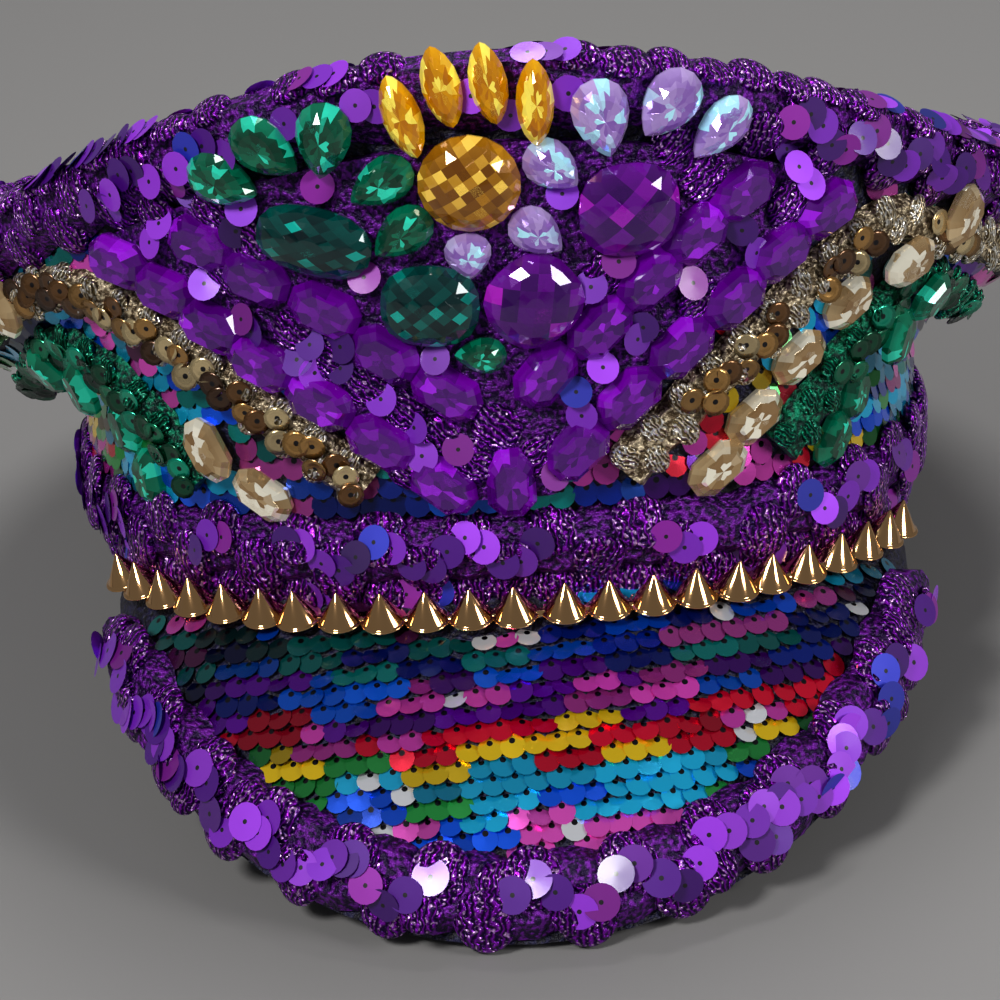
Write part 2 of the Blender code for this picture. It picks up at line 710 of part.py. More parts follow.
def place_stone(name, cut, colour, length, width, rise, frame, tree, corners):
    """Set a stone with its flat back just clear of what lies under it."""
    shape = outline(cut, length, width)
    lift = top_of(tree, corners, frame, shape) + GAP
    raised = frame @ Matrix.Translation((0, 0, lift))
    points, faces = stone_mesh(cut, length, width, rise, raised)
    return make_object(name, colour, points, faces, smooth=False)


# Front braid with its sewn rows of stones
def make_field(tree):
    low = FIELD_FOOT_SHARE
    below = EDGE_TRIM_DOWN + TRIM_WAVE + 1.0 * MM
    outer = []
    inner = []
    for i in range(8):
        t = low + (0.85 - low) * i / 7
        away = FIELD_FROM_GOLD_DEG + 2.5 * t
        left = -min(line_angle(LINES_LEFT, "gold", t) - away, FIELD_LEFT_END_DEG)
        right = min(line_angle(LINES_RIGHT, "gold", t) - away, FIELD_RIGHT_END_DEG)
        top_row = []
        low_row = []
        for j in range(13):
            a = math.radians(left + (right - left) * j / 12)
            up = low + (share_below_edge(a, below) - low) * i / 7
            n = normal_of(crown_point, a, up, 0.02, 0.03)
            rise = FIELD_RISE * (0.6 if j in (0, 12) else 1.0)
            top_row.append(crown_point(a, up) + n * (GAP + rise))
            low_row.append(seat(tree, crown_point(a, up), n, FIELD_GAP))
        outer.append(top_row)
        inner.append(low_row)
    body = shell("front_braid", "violet_lurex", outer, inner, False)
    for row in FIELD_STONES:
        frame = crown_frame(row.angle, row.share, row.turn) @ Matrix.Translation((0, 0, 1.5 * MM))
        rise = FIELD_STONE_RISE + GAP + FIELD_RISE - 1.5 * MM
        points, faces = stone_mesh("octagon", FIELD_STONE_LONG, FIELD_STONE_WIDE, rise, frame)
        fuse(body, make_object("front_braid_stone", "violet", points, faces, smooth=False))
    return body


def fuse(body, extra):
    """Join a second closed mesh into the body and drop the helper."""
    extra.hide_render = True
    extra.display_type = "WIRE"
    for obj in (body, extra):
        bm = bmesh.new()
        bm.from_mesh(obj.data)
        bmesh.ops.triangulate(bm, faces=[f for f in bm.faces if len(f.verts) > 3])
        bm.to_mesh(obj.data)
        bm.free()
    joined = body.modifiers.new("fuse", "BOOLEAN")
    joined.operation = "UNION"
    joined.solver = "EXACT"
    joined.object = extra
    bpy.context.view_layer.update()
    evaluated = body.evaluated_get(bpy.context.evaluated_depsgraph_get())
    mesh = bpy.data.meshes.new_from_object(evaluated)
    body.modifiers.clear()
    body.data = mesh
    bpy.data.objects.remove(extra, do_unlink=True)


# Cone studs on their tape
def make_spikes(tree):
    reach = math.radians(88)
    turns = [-reach + 2 * reach * i / 80 for i in range(81)]

    def near_band(turn):
        length = (visor_point(turn, 1.0) - visor_point(turn, 0.0)).length
        return visor_point(turn, min(CONE_FROM_BAND / length, 0.55))

    spots = [near_band(t) for t in turns]
    path = resample_count(spots, CONE_COUNT + 1)
    path = path[:1] + [(a + b) / 2 for a, b in zip(path[:-1], path[1:])] + path[-1:]
    normals = []
    for p in path:
        k = min(range(len(spots)), key=lambda i: (spots[i] - p).length)
        turn = min(max(turns[k], math.radians(-70)), math.radians(70))
        length = (visor_point(turn, 1.0) - visor_point(turn, 0.0)).length
        normals.append(-normal_of(visor_point, turn, CONE_FROM_BAND / length))
    count = len(path)
    sections = []
    for i, (p, n) in enumerate(zip(path, normals)):
        along = (path[min(i + 1, count - 1)] - path[max(i - 1, 0)]).normalized()
        side = n.cross(along).normalized()
        section = []
        for across, lift in ((-1, 0), (1, 0), (0.9, 1), (-0.9, 1)):
            section.append(seat(tree, p + side * across * TAPE_HALF, n, STRIP_GAP + lift * TAPE_RISE))
        sections.append(section)
    body = sweep("spike_chain", "gold_metal", sections, False)
    sides = 8
    for i in range(1, count - 1):
        n = normals[i]
        base = seat(tree, path[i], n, STRIP_GAP + 0.6 * TAPE_RISE)
        along = (path[i + 1] - path[i - 1]).normalized()
        side = n.cross(along).normalized()
        points = []
        for radius, height in ((1.0, 0.0), (0.92, 0.20)):
            for j in range(sides):
                q = math.tau * (j + 0.5) / sides
                flat = along * math.cos(q) + side * math.sin(q)
                points.append(base + flat * CONE_RADIUS * radius + n * CONE_HEIGHT * height)
        points.append(base + n * (CONE_HEIGHT + 0.6 * TAPE_RISE))
        faces = [tuple(range(sides))[::-1]]
        for j in range(sides):
            k = (j + 1) % sides
            faces.append((j, k, sides + k, sides + j))
            faces.append((sides + j, sides + k, 2 * sides))
        fuse(body, make_object("spike_chain_cone", "gold_metal", points, faces))
    return body


def resample_count(points, count):
    """A set number of points at equal steps along an open path."""
    lengths = [0.0]
    for a, b in zip(points, points[1:]):
        lengths.append(lengths[-1] + (b - a).length)
    found = []
    for i in range(count):
        want = lengths[-1] * i / (count - 1)
        k = min(max(int(np.searchsorted(lengths, want)), 1), len(points) - 1)
        part = (want - lengths[k - 1]) / (lengths[k] - lengths[k - 1])
        found.append(points[k - 1].lerp(points[k], part))
    return found


def settle(objects):
    """Lay the cap down on its visor edge and the back of its band, centred over the origin."""
    spots = sorted({(round(v.co.y, 6), round(v.co.z, 6)) for o in objects for v in o.data.vertices})
    hull = []
    for y, z in spots:
        while len(hull) > 1:
            (y0, z0), (y1, z1) = hull[-2:]
            if (y1 - y0) * (z - z0) - (z1 - z0) * (y - y0) > 0:
                break
            hull.pop()
        hull.append((y, z))
    under = next(i for i in range(len(hull)) if hull[i][0] > 0)
    (y0, z0), (y1, z1) = hull[under - 1:under + 1]
    tilt = math.atan2(z1 - z0, y1 - y0)
    turn = Matrix.Rotation(-tilt, 4, "X")
    for o in objects:
        o.data.transform(turn)
    every = np.array([tuple(v.co) for o in objects for v in o.data.vertices])
    low = every.min(axis=0)
    high = every.max(axis=0)
    shift = Matrix.Translation((-(low[0] + high[0]) / 2, -(low[1] + high[1]) / 2, -low[2]))
    for o in objects:
        o.data.transform(shift)
        o.data.update()
    print("tilt", round(math.degrees(tilt), 3), "size", (high - low).round(4), "shift", shift.translation)


def main():
    for obj in list(bpy.data.objects):
        bpy.data.objects.remove(obj, do_unlink=True)
    made = [make_headband(), make_crown_sides(), make_crown_top(), make_visor()]
    headband, sides, _, visor = made
    band_tree, _ = tree_of([headband])
    crown_tree, _ = tree_of([sides])
    visor_tree, _ = tree_of([visor])
    made += [make_band_trim(band_tree), make_visor_trim(visor_tree), make_edge_trim()]
    made.append(make_spikes(visor_tree))
    for side, word in ((-1, "left"), (1, "right")):
        gold = make_lace(f"gold_braid_{word}", "gold_lurex", crown_tree, side, "gold")
        green = make_lace(f"green_braid_{word}", "green_lurex", crown_tree, side, "green")
        made += [gold, green]
    made.append(make_field(crown_tree))
    tree, corners = tree_of(made)
    for s in STONES:
        frame = crown_frame(s.angle, s.share, s.turn)
        size = (s.long * MM, s.wide * MM, s.rise * MM)
        made.append(place_stone(s.name, s.cut, s.colour, *size, frame, tree, corners))
    series = (
        ("champagne_left", "champagne", -1, CHAMPAGNE_LEFT, "champagne", 10.0, 7.6, 52),
        ("champagne_right", "champagne", 1, CHAMPAGNE_RIGHT, "champagne", 10.0, 7.6, 52),
        ("green_octagon_left", "emerald", -1, OCTAGONS_LEFT, "octagons", 9.0, 6.0, 68),
        ("green_octagon_right", "emerald", 1, OCTAGONS_RIGHT, "octagons", 9.0, 6.0, 68),
    )
    for name, colour, side, shares, column, long, wide, turn in series:
        lines = LINES_RIGHT if side > 0 else LINES_LEFT
        for i, t in enumerate(shares):
            frame = crown_frame(side * line_angle(lines, column, t), t, turn if side > 0 else 180 - turn)
            size = (long * MM, wide * MM, LINE_STONE_RISE)
            made.append(place_stone(f"{name}_{i + 1}", "octagon", colour, *size, frame, tree, corners))
    settle(made)


main()
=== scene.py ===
# %% [markdown]
# # A sequin captain's cap
# This script dresses a finished solid model of a peaked cap. The solids give the shape;
# here the cloth gets its flip sequins, the braids get their lobes of metallic thread, and
# the stones get finer cuts and their foil backs. Run the cells from top to bottom.

# %% Setup
import json
import math
from collections import namedtuple
from math import cos, radians, sin

import bpy
import numpy as np
from mathutils import Matrix, Vector
from mathutils.bvhtree import BVHTree


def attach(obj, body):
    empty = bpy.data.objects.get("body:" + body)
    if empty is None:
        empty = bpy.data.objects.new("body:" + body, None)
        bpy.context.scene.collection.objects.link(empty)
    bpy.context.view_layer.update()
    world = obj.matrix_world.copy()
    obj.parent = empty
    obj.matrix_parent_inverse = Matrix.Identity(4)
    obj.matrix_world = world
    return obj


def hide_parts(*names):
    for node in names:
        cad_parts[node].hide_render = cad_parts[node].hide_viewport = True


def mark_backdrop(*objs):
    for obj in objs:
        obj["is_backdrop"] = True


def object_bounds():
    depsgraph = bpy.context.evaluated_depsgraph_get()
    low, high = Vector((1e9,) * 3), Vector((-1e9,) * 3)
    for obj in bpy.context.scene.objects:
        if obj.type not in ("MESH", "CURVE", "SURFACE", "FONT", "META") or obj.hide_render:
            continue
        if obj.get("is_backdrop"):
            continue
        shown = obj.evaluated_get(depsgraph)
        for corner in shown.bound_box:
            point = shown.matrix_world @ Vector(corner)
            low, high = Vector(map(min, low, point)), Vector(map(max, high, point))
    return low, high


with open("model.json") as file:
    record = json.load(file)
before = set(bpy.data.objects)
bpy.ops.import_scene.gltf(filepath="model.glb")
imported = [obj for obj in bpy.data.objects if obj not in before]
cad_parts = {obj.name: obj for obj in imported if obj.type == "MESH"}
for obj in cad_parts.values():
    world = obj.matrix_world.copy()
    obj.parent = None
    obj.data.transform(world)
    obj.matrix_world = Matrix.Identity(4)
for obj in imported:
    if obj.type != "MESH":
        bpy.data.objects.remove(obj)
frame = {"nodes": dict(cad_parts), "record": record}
start_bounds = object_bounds()
MM = 0.001


def new_object(name, data):
    """An object at the origin of the scene."""
    made = bpy.data.objects.new(name, data)
    bpy.context.scene.collection.objects.link(made)
    return made


print("solids:", len(frame["nodes"]))

# %% [markdown]
# ## The cap's own directions
# The cap leans back on its band and the edge of its peak. Its curves are simpler in its own
# upright directions, with the band level, so the next cell keeps that upright frame and the
# turn that lays it down. `lay` turns a point and `aim` turns a direction.

# %% Upright frame and the main curves
LEAN = radians(12.289)
SHIFT = Vector((0, 0.0106, 0.0209))
TURN = Matrix.Rotation(-LEAN, 3, "X")
BAND_WIDE, BAND_LONG, SQUARENESS = 85 * MM, 98 * MM, 2.5
CROWN_WIDE, CROWN_FRONT, CROWN_BACK, CROWN_MID = 110.5 * MM, 111.5 * MM, 114 * MM, 2 * MM
FRONT_HIGH, SIDE_HIGH, BACK_HIGH = 104 * MM, 62 * MM, 50 * MM
PEAK_END = radians(54)


def lay(p):
    return TURN @ Vector(p) + SHIFT


def aim(v):
    return (TURN @ Vector(v)).normalized()


def smooth_step(value, low, high):
    t = min(max((value - low) / (high - low), 0.0), 1.0)
    return t * t * (3 - 2 * t)


def ring_point(a, height=0.0, out=0.0):
    """A point of the head band's outline; the angle is 0 at the front."""
    s, c = sin(a), cos(a)
    across = abs(s / (BAND_WIDE + out)) ** SQUARENESS
    ahead = abs(c / (BAND_LONG + out)) ** SQUARENESS
    r = (across + ahead) ** (-1 / SQUARENESS)
    return Vector((r * s, -r * c, height))


def crown_edge(a):
    """A point of the crown's wide upper edge."""
    s, c = sin(a), cos(a)
    if c > 0:
        high = SIDE_HIGH + (FRONT_HIGH - SIDE_HIGH) * c * c
    else:
        high = SIDE_HIGH + (BACK_HIGH - SIDE_HIGH) * abs(c) ** 1.6
    reach = CROWN_FRONT if c > 0 else CROWN_BACK
    return Vector((CROWN_WIDE * s, CROWN_MID - reach * c, high))


def crown_point(a, share):
    """A point of the crown's side, from the band (share 0) to the edge (share 1)."""
    foot = ring_point(a, 21 * MM, 1.5 * MM)
    edge = crown_edge(a)
    wing = smooth_step(abs(math.degrees(a)), 30, 80)
    rim = 24.5 * MM * (1 - 0.1 * sin(a)) - 7 * MM * max(0.0, -cos(a))
    low = edge - Vector((0, 0, rim * wing + (1 - wing) * 0.3 * (edge.z - foot.z)))
    corner = foot.lerp(edge, 0.7).lerp(low, wing)
    if share > 0.7:
        return corner.lerp(edge, (share - 0.7) / 0.3)
    k = max(share, 0.0) / 0.7
    out = k ** (1 + 3 * wing)
    step = corner - foot
    return foot + Vector((step.x * out, step.y * out, step.z * k))


def peak_point(turn, share):
    """A point of the peak's upper face, from the band (share 0) to its edge (share 1)."""
    root = ring_point(turn * 54 / 90, 3.2 * MM, 0.8 * MM)
    end_y = ring_point(PEAK_END).y - 3 * MM
    c = max(cos(turn), 0.0)
    end_y += (-140 * MM - end_y) * c
    end = Vector((79.5 * MM * sin(turn), end_y, -5 * MM - 45 * MM * c))
    bulge = Vector((0.4 * sin(turn), -0.7 * c - 0.2, 0.7)).normalized()
    return root.lerp(end, share) + bulge * 5 * MM * math.sqrt(c) * sin(math.pi * share)


def normal_of(surface, u, v, du=0.004, dv=0.004):
    across = surface(u + du, v) - surface(u - du, v)
    up = surface(u, v + dv) - surface(u, v - dv)
    return across.cross(up).normalized()


def wall_normal(a, share):
    return normal_of(crown_point, a, share, 0.02, 0.03)


def peak_length(turn):
    """How far the peak reaches from the band to its edge."""
    return (peak_point(turn, 1.0) - peak_point(turn, 0.0)).length


def share_below_edge(a, distance):
    wall = (crown_point(a, 1.0) - crown_point(a, 0.7)).length
    return 1 - 0.3 * distance / wall


print("front of the peak:", tuple(round(v, 4) for v in lay(peak_point(0, 1))))

# %% [markdown]
# ## Finding the surface of the solids
# Every sequin and lobe sits on a solid. A ray is shot at the cap from outside; the first
# face that it meets gives the seat, and the name of the solid tells whether the spot is free
# or already covered, for example by a stone.

# %% Rays onto the solids
def tree_of(names):
    points, faces, owners = [], [], []
    for name in names:
        mesh = frame["nodes"][name].data
        first = len(points)
        points += [v.co.copy() for v in mesh.vertices]
        for poly in mesh.polygons:
            faces.append([first + i for i in poly.vertices])
            owners.append(name)
    return BVHTree.FromPolygons(points, faces), owners


WHOLE = tree_of(list(frame["nodes"]))
Spot = namedtuple("Spot", "at facing along size run")


def shoot(place, facing, allowed, reach=14 * MM, beyond=26 * MM):
    """The seat below a place in the row frame, or None where another solid lies on top."""
    tree, owners = WHOLE
    hit, normal, index, _ = tree.ray_cast(place + facing * reach, -facing, beyond)
    if hit is None or not owners[index].startswith(allowed):
        return None
    if normal.dot(facing) < 0:
        normal = -normal
    return hit, normal


CLOTH = (
    "visor", "headband", "spike_chain", "crown", "front_braid", "band_trim", "gold_braid",
    "green_braid",
)


def clear_round(place, facing, along, radius):
    """True where no stone and no stud lies within a radius of a seat."""
    tree, owners = WHOLE
    side = facing.cross(along)
    for step in (along, -along, side, -side):
        start = place + step * radius + facing * 12 * MM
        hit, _, index, _ = tree.ray_cast(start, -facing, 20 * MM)
        if hit is not None and not owners[index].startswith(CLOTH):
            return False
    return True


def lengths_along(path):
    """How far along a path each of its points lies."""
    lengths = [0.0]
    for a, b in zip(path, path[1:]):
        lengths.append(lengths[-1] + (b - a).length)
    return lengths


print("faces to shoot at:", len(WHOLE[1]))

# %% [markdown]
# ## Shader arithmetic
# A shader tree is easier to read as a formula. `Value` wraps one socket, and + - * / on it
# add the Math nodes. Every other node comes from `add_node`, which takes its settings and
# what goes into its sockets. Colours go through Mix nodes, one call each.

# %% Shader helpers
def fill(tree, node, inputs):
    """Each socket gets a value, or a link where a socket or a Value is given."""
    for key, item in inputs.items():
        item = item.socket if isinstance(item, Value) else item
        if isinstance(item, bpy.types.NodeSocket):
            tree.links.new(item, node.inputs[key])
        else:
            node.inputs[key].default_value = item
    return node


def add_node(tree, kind, inputs=(), **settings):
    """A node with its settings first, because they can change its sockets."""
    node = tree.nodes.new(kind)
    for key, value in settings.items():
        setattr(node, key, value)
    return fill(tree, node, dict(inputs))


def operation(kind, swapped=False):
    """A method that adds one Math node; swapped, the other number comes first."""
    if swapped:
        return lambda value, other: value.made(kind, other, value)
    return lambda value, *others: value.made(kind, value, *others)


class Value:
    """A number inside a shader tree."""

    __add__, __radd__ = operation("ADD"), operation("ADD", True)
    __sub__, __rsub__ = operation("SUBTRACT"), operation("SUBTRACT", True)
    __mul__, __rmul__ = operation("MULTIPLY"), operation("MULTIPLY", True)
    __truediv__, __rtruediv__ = operation("DIVIDE"), operation("DIVIDE", True)
    power, root = operation("POWER"), operation("SQRT")
    highest, lowest = operation("MAXIMUM"), operation("MINIMUM")
    floor, fraction = operation("FLOOR"), operation("FRACT")
    size, sine = operation("ABSOLUTE"), operation("SINE")
    below, angle_from = operation("LESS_THAN"), operation("ARCTAN2")

    def __init__(self, tree, socket):
        self.tree = tree
        self.socket = socket

    def made(self, kind, *inputs):
        inputs = dict(enumerate(inputs))
        node = add_node(self.tree, "ShaderNodeMath", inputs, operation=kind)
        return Value(self.tree, node.outputs[0])

    def chance(self):
        """A number from 0 to 1 that jumps about from one whole number to the next."""
        return ((self * 12.9898).sine() * 43758.5).fraction()


def new_material(name):
    made = bpy.data.materials.new(name)
    made.use_nodes = True
    tree = made.node_tree
    return made, tree, tree.nodes["Principled BSDF"]


def mix_colours(tree, share, low, high):
    """A colour between two others; each may be a socket or four numbers."""
    inputs = {"Factor": share, 6: low, 7: high}
    return add_node(tree, "ShaderNodeMix", inputs, data_type="RGBA").outputs[2]


def own_uv(tree):
    """The piece's own flat coordinates as two values, each from -1 to 1."""
    uv = add_node(tree, "ShaderNodeUVMap", uv_map="UVMap")
    split = add_node(tree, "ShaderNodeSeparateXYZ", {0: uv.outputs[0]})
    return Value(tree, split.outputs[0]) * 2 - 1, Value(tree, split.outputs[1]) * 2 - 1


def attribute(tree, name):
    node = add_node(tree, "ShaderNodeAttribute", attribute_name=name)
    return Value(tree, node.outputs["Fac"])


def add_bump(tree, shader, height, distance, strength=1.0):
    inputs = {"Strength": strength, "Distance": distance, "Height": height}
    bump = add_node(tree, "ShaderNodeBump", inputs)
    fill(tree, shader, {"Normal": bump.outputs[0]})


def steps_of(tree, value, stops):
    """A ramp of plain colours, each from its stop up to the next."""
    node = add_node(tree, "ShaderNodeValToRGB", {0: value})
    node.color_ramp.interpolation = "CONSTANT"
    elements = node.color_ramp.elements
    while len(elements) < len(stops):
        elements.new(0.5)
    for element, (place, colour) in zip(elements, stops):
        element.position = place
        element.color = (*colour, 1)
    return node.outputs[0]


print("shader helpers ready")

# %% [markdown]
# ## Materials
# Sequins are thin foil discs: metallic, with a small dark sewing hole near the top, and
# steps of painted shade. The threads are stripes of metallic yarn with painted glints. The
# stones are clear plastic over foil, and what one sees through them is a fan of small
# mirrors, painted here as reflections from the stone's own UV.

# %% Sequin foil
RAINBOW = [
    (0.00, (0.0, 0.26, 0.24)), (0.07, (0.0, 0.02, 0.34)), (0.16, (0.0, 0.11, 0.80)),
    (0.23, (0.12, 0.0, 0.34)), (0.29, (0.92, 0.07, 0.62)), (0.39, (0.80, 0.0, 0.03)),
    (0.48, (1.00, 0.66, 0.01)), (0.57, (0.02, 0.34, 0.06)), (0.66, (0.01, 0.55, 0.95)),
    (0.75, (0.0, 0.10, 0.92)), (0.86, (0.95, 0.10, 0.66)), (0.95, (0.92, 0.93, 0.97)),
]
VIOLETS = [
    (0.00, (0.07, 0.0, 0.22)), (0.25, (0.20, 0.015, 0.52)), (0.50, (0.34, 0.035, 0.78)),
    (0.82, (0.26, 0.01, 0.34)), (0.93, (0.02, 0.03, 0.50)),
]
GOLDS = [(0.0, (0.16, 0.07, 0.02)), (0.35, (0.42, 0.22, 0.06)), (0.7, (0.72, 0.55, 0.28))]
GREENS = [(0.0, (0.0, 0.07, 0.03)), (0.4, (0.0, 0.22, 0.10)), (0.8, (0.0, 0.42, 0.24))]
SHADE_STEP = 0.31


def sequin_foil(name, stops, hole=0.15, hole_up=0.0, metallic=0.82, rough=0.24):
    """The part of `run` after the point picks the colour; its whole part is painted shade."""
    made, tree, shader = new_material(name)
    u, v = own_uv(tree)
    run = attribute(tree, "run")
    colour = steps_of(tree, run.fraction(), stops)
    # Painted shade: each whole step of `run` darkens by SHADE_STEP, three steps at most.
    dark = (run.floor() * SHADE_STEP).lowest(3 * SHADE_STEP)
    colour = mix_colours(tree, dark, colour, (0.002, 0.001, 0.006, 1))
    distance = (u * u + (v - hole_up) * (v - hole_up)).root()
    colour = mix_colours(tree, distance.below(hole), colour, (0.003, 0.002, 0.005, 1))
    fill(tree, shader, {
        "Base Color": colour, "Metallic": metallic, "Roughness": rough,
        "Coat Weight": 0.5, "Coat Roughness": 0.15,
    })
    return made


FLIP_FOIL = sequin_foil("flip sequin foil", RAINBOW, 0.24, 0.46, 0.7, 0.22)
VIOLET_FOIL = sequin_foil("violet sequin foil", VIOLETS, 0.13, 0.0, 0.35, 0.50)
GOLD_FOIL = sequin_foil("gold sequin foil", GOLDS, 0.20)
GREEN_FOIL = sequin_foil("green sequin foil", GREENS, 0.20)
print("sequin foils:", [m.name for m in (FLIP_FOIL, VIOLET_FOIL, GOLD_FOIL, GREEN_FOIL)])

# %% [markdown]
# The braids are metallic yarn. A lobe shows single loops of it, so its stripes follow the
# lobe's own UV and are bent by a noise. The ground between the lobes is seen from further
# away, where a noise over the object is enough. A second, much finer noise sets off painted
# glints: near-white spots mixed into the colour.

# %% Metallic thread and cloth
def grain_of(tree, scale, detail=2.0):
    """A noise over the object, as one number."""
    place = add_node(tree, "ShaderNodeTexCoord").outputs["Object"]
    inputs = {"Vector": place, "Scale": scale, "Detail": detail}
    return Value(tree, add_node(tree, "ShaderNodeTexNoise", inputs).outputs[0])


def thread(name, dark, bright, glint, lines=8.0, glints=0.625):
    """Loops of metallic yarn: crooked stripes with a painted glint here and there."""
    made, tree, shader = new_material(name)
    v = own_uv(tree)[1]
    noise = grain_of(tree, 520)
    wave = ((v * lines + noise * 5.0 + attribute(tree, "run") * 7) * math.pi).sine() * 0.5 + 0.5
    colour = mix_colours(tree, wave.power(1.6), (*dark, 1), (*bright, 1))
    # Painted glints: a fine noise mixes the glint colour into the base colour.
    spark = (grain_of(tree, 1500, 0.0) - glints).highest(0.0) * 9.0
    colour = mix_colours(tree, spark.lowest(1.0), colour, (*glint, 1))
    fill(tree, shader, {"Base Color": colour, "Metallic": 0.8, "Roughness": 0.30})
    add_bump(tree, shader, wave + noise, 0.0008)
    return made


def ground(name, dark, bright, metallic=0.6, rough=0.42, scale=900.0):
    """The braid's ground: yarn seen from further away, without its own UV."""
    made, tree, shader = new_material(name)
    noise = grain_of(tree, scale, 3.0)
    share = ((noise - 0.45) * 6.0).highest(0.0).lowest(1.0)
    colour = mix_colours(tree, share, (*dark, 1), (*bright, 1))
    fill(tree, shader, {"Base Color": colour, "Metallic": metallic, "Roughness": rough})
    add_bump(tree, shader, noise, 0.0012)
    return made


def plain(name, colour, metallic=0.0, rough=0.6):
    """One colour all over, as on bare metal or a painted floor."""
    made, tree, shader = new_material(name)
    fill(tree, shader, {"Base Color": (*colour, 1), "Metallic": metallic, "Roughness": rough})
    return made


VIOLET_THREAD = thread(
    "violet metallic thread", (0.010, 0.0, 0.04), (0.27, 0.008, 0.52), (0.85, 0.45, 1.0))
GOLD_THREAD = thread(
    "gold metallic thread", (0.12, 0.08, 0.03), (0.95, 0.82, 0.58), (1.0, 0.98, 0.92), 6,
    glints=0.53)
GREEN_THREAD = thread(
    "green metallic thread", (0.0, 0.03, 0.02), (0.0, 0.30, 0.15), (0.10, 0.80, 0.50), 6)
BACKING = {
    "rainbow_sequins": ground(
        "dark sequin net", (0.003, 0.002, 0.008), (0.012, 0.010, 0.05), 0.3, 0.5),
    "band_cloth": ground(
        "black band cloth", (0.004, 0.003, 0.006), (0.012, 0.010, 0.02), 0.0, 0.8, 1400),
    "violet_lurex": ground("violet braid ground", (0.012, 0.0, 0.035), (0.17, 0.008, 0.34)),
    "gold_lurex": ground(
        "gold braid ground", (0.09, 0.06, 0.03), (0.78, 0.64, 0.42), 0.7, 0.35),
    "green_lurex": ground("green braid ground", (0.0, 0.02, 0.015), (0.0, 0.24, 0.12)),
}
GOLD_METAL = plain("polished pale gold", (0.74, 0.42, 0.18), 1.0, 0.09)
print("threads and cloths:", 3 + len(BACKING))

# %% [markdown]
# A foiled stone could be made of glass, but the foil behind it hides most of what glass
# does, and glass is slow to render. So the surface is a gloss coat over painted reflections:
# wedges and rings round the middle, or a diagonal grid, are numbered, and each number gives
# its little mirror a painted brightness of its own. The brightest mirrors get a painted
# flash, the body is painted lighter towards its outline, and the colour glows faintly.

# %% Foiled stones
def foiled(name, deep, middle, flash, wedges=12, metallic=0.25, grid=0.0, bright=0.84, glow=0.16):
    """Clear plastic on foil: painted reflections of small mirrors round the middle, each with its
    own brightness.
    """
    made, tree, shader = new_material(name)
    u, v = own_uv(tree)
    away = (u * u + v * v).root()
    turn = (v.angle_from(u) / math.tau + 0.5) * wedges
    ring = (away * 2.6 + ((turn.fraction() - 0.5).size() * 0.5)).floor()
    cell = (turn + ring * 0.5).floor() + ring * 31 + attribute(tree, "run") * 57
    if grid:
        across, along = ((u + v) * grid).floor(), ((u - v) * grid).floor()
        cell = across * 7 + along * 31 + attribute(tree, "run") * 57
    light = cell.chance()
    # Painted light: the body colour gets lighter towards the outline.
    rim = ((away - 0.62).highest(0.0) * 1.8).lowest(1.0)
    share = (light.power(1.7) * 0.85 + rim * 0.35).lowest(1.0)
    body = mix_colours(tree, share, (*deep, 1), (*middle, 1))
    # Painted flash: the brightest mirrors turn to the flash colour.
    glare = ((light - bright) * 9.0).highest(0.0).lowest(1.0)
    colour = mix_colours(tree, glare, body, (*flash, 1))
    add_bump(tree, shader, light * 0.6 + (cell * 1.7).chance() * u * 0.6, 0.0004, 0.35)
    # Painted glow: the colour also goes into a faint emission, though a stone gives no light.
    fill(tree, shader, {
        "Base Color": colour, "Metallic": metallic, "Roughness": 0.10,
        "Specular IOR Level": 0.35, "Coat Weight": 0.7, "Coat Roughness": 0.02,
        "Emission Color": colour, "Emission Strength": glow,
    })
    return made


STONES = {
    "emerald_dark": foiled(
        "deep emerald stone", (0, 0.008, 0.010), (0, 0.07, 0.06), (0.0, 0.42, 0.34),
        grid=3.2, bright=0.90),
    "emerald": foiled(
        "emerald stone", (0, 0.025, 0.012), (0, 0.20, 0.10), (0.02, 0.62, 0.42)),
    "amber": foiled(
        "amber stone", (0.42, 0.13, 0.0), (0.90, 0.46, 0.0), (1.0, 0.80, 0.10), bright=0.7),
    "amber_round": foiled(
        "brown amber stone", (0.12, 0.035, 0.0), (0.55, 0.24, 0.01), (0.95, 0.60, 0.08),
        grid=3.4, bright=0.82),
    "crystal": foiled(
        "clear lavender stone", (0.22, 0.10, 0.42), (0.66, 0.50, 0.88), (0.45, 0.85, 1.0),
        metallic=0.4, bright=0.74),
    "violet": foiled(
        "violet stone", (0.025, 0.0, 0.07), (0.15, 0.002, 0.30), (0.42, 0.01, 0.50),
        grid=2.0, bright=0.90),
    "octagon": foiled(
        "violet octagon stone", (0.035, 0.0, 0.09), (0.15, 0.0, 0.33), (0.36, 0.01, 0.80),
        8, 0.1, bright=0.90, glow=0.12),
    "champagne": foiled(
        "champagne stone", (0.26, 0.14, 0.05), (0.80, 0.60, 0.32), (1.0, 0.94, 0.76),
        8, 0.7, bright=0.62),
}
print("stone materials:", len(STONES))

# %% [markdown]
# ## Small shapes to repeat
# Each template is one closed little body, about 1 unit wide, that lies in the XY plane and
# faces +Z. Its UV map runs over the piece from corner to corner.

# %% Templates
def template(name, points, faces, smooth=True):
    mesh = bpy.data.meshes.new(name)
    mesh.from_pydata([tuple(p) for p in points], [], faces)
    widest = max(max(abs(p[0]), abs(p[1])) for p in points)
    layer = mesh.uv_layers.new(name="UVMap")
    for loop in mesh.loops:
        p = mesh.vertices[loop.vertex_index].co
        layer.data[loop.index].uv = (p.x / widest / 2 + 0.5, p.y / widest / 2 + 0.5)
    mesh.shade_smooth() if smooth else mesh.shade_flat()
    return new_object(name, mesh)


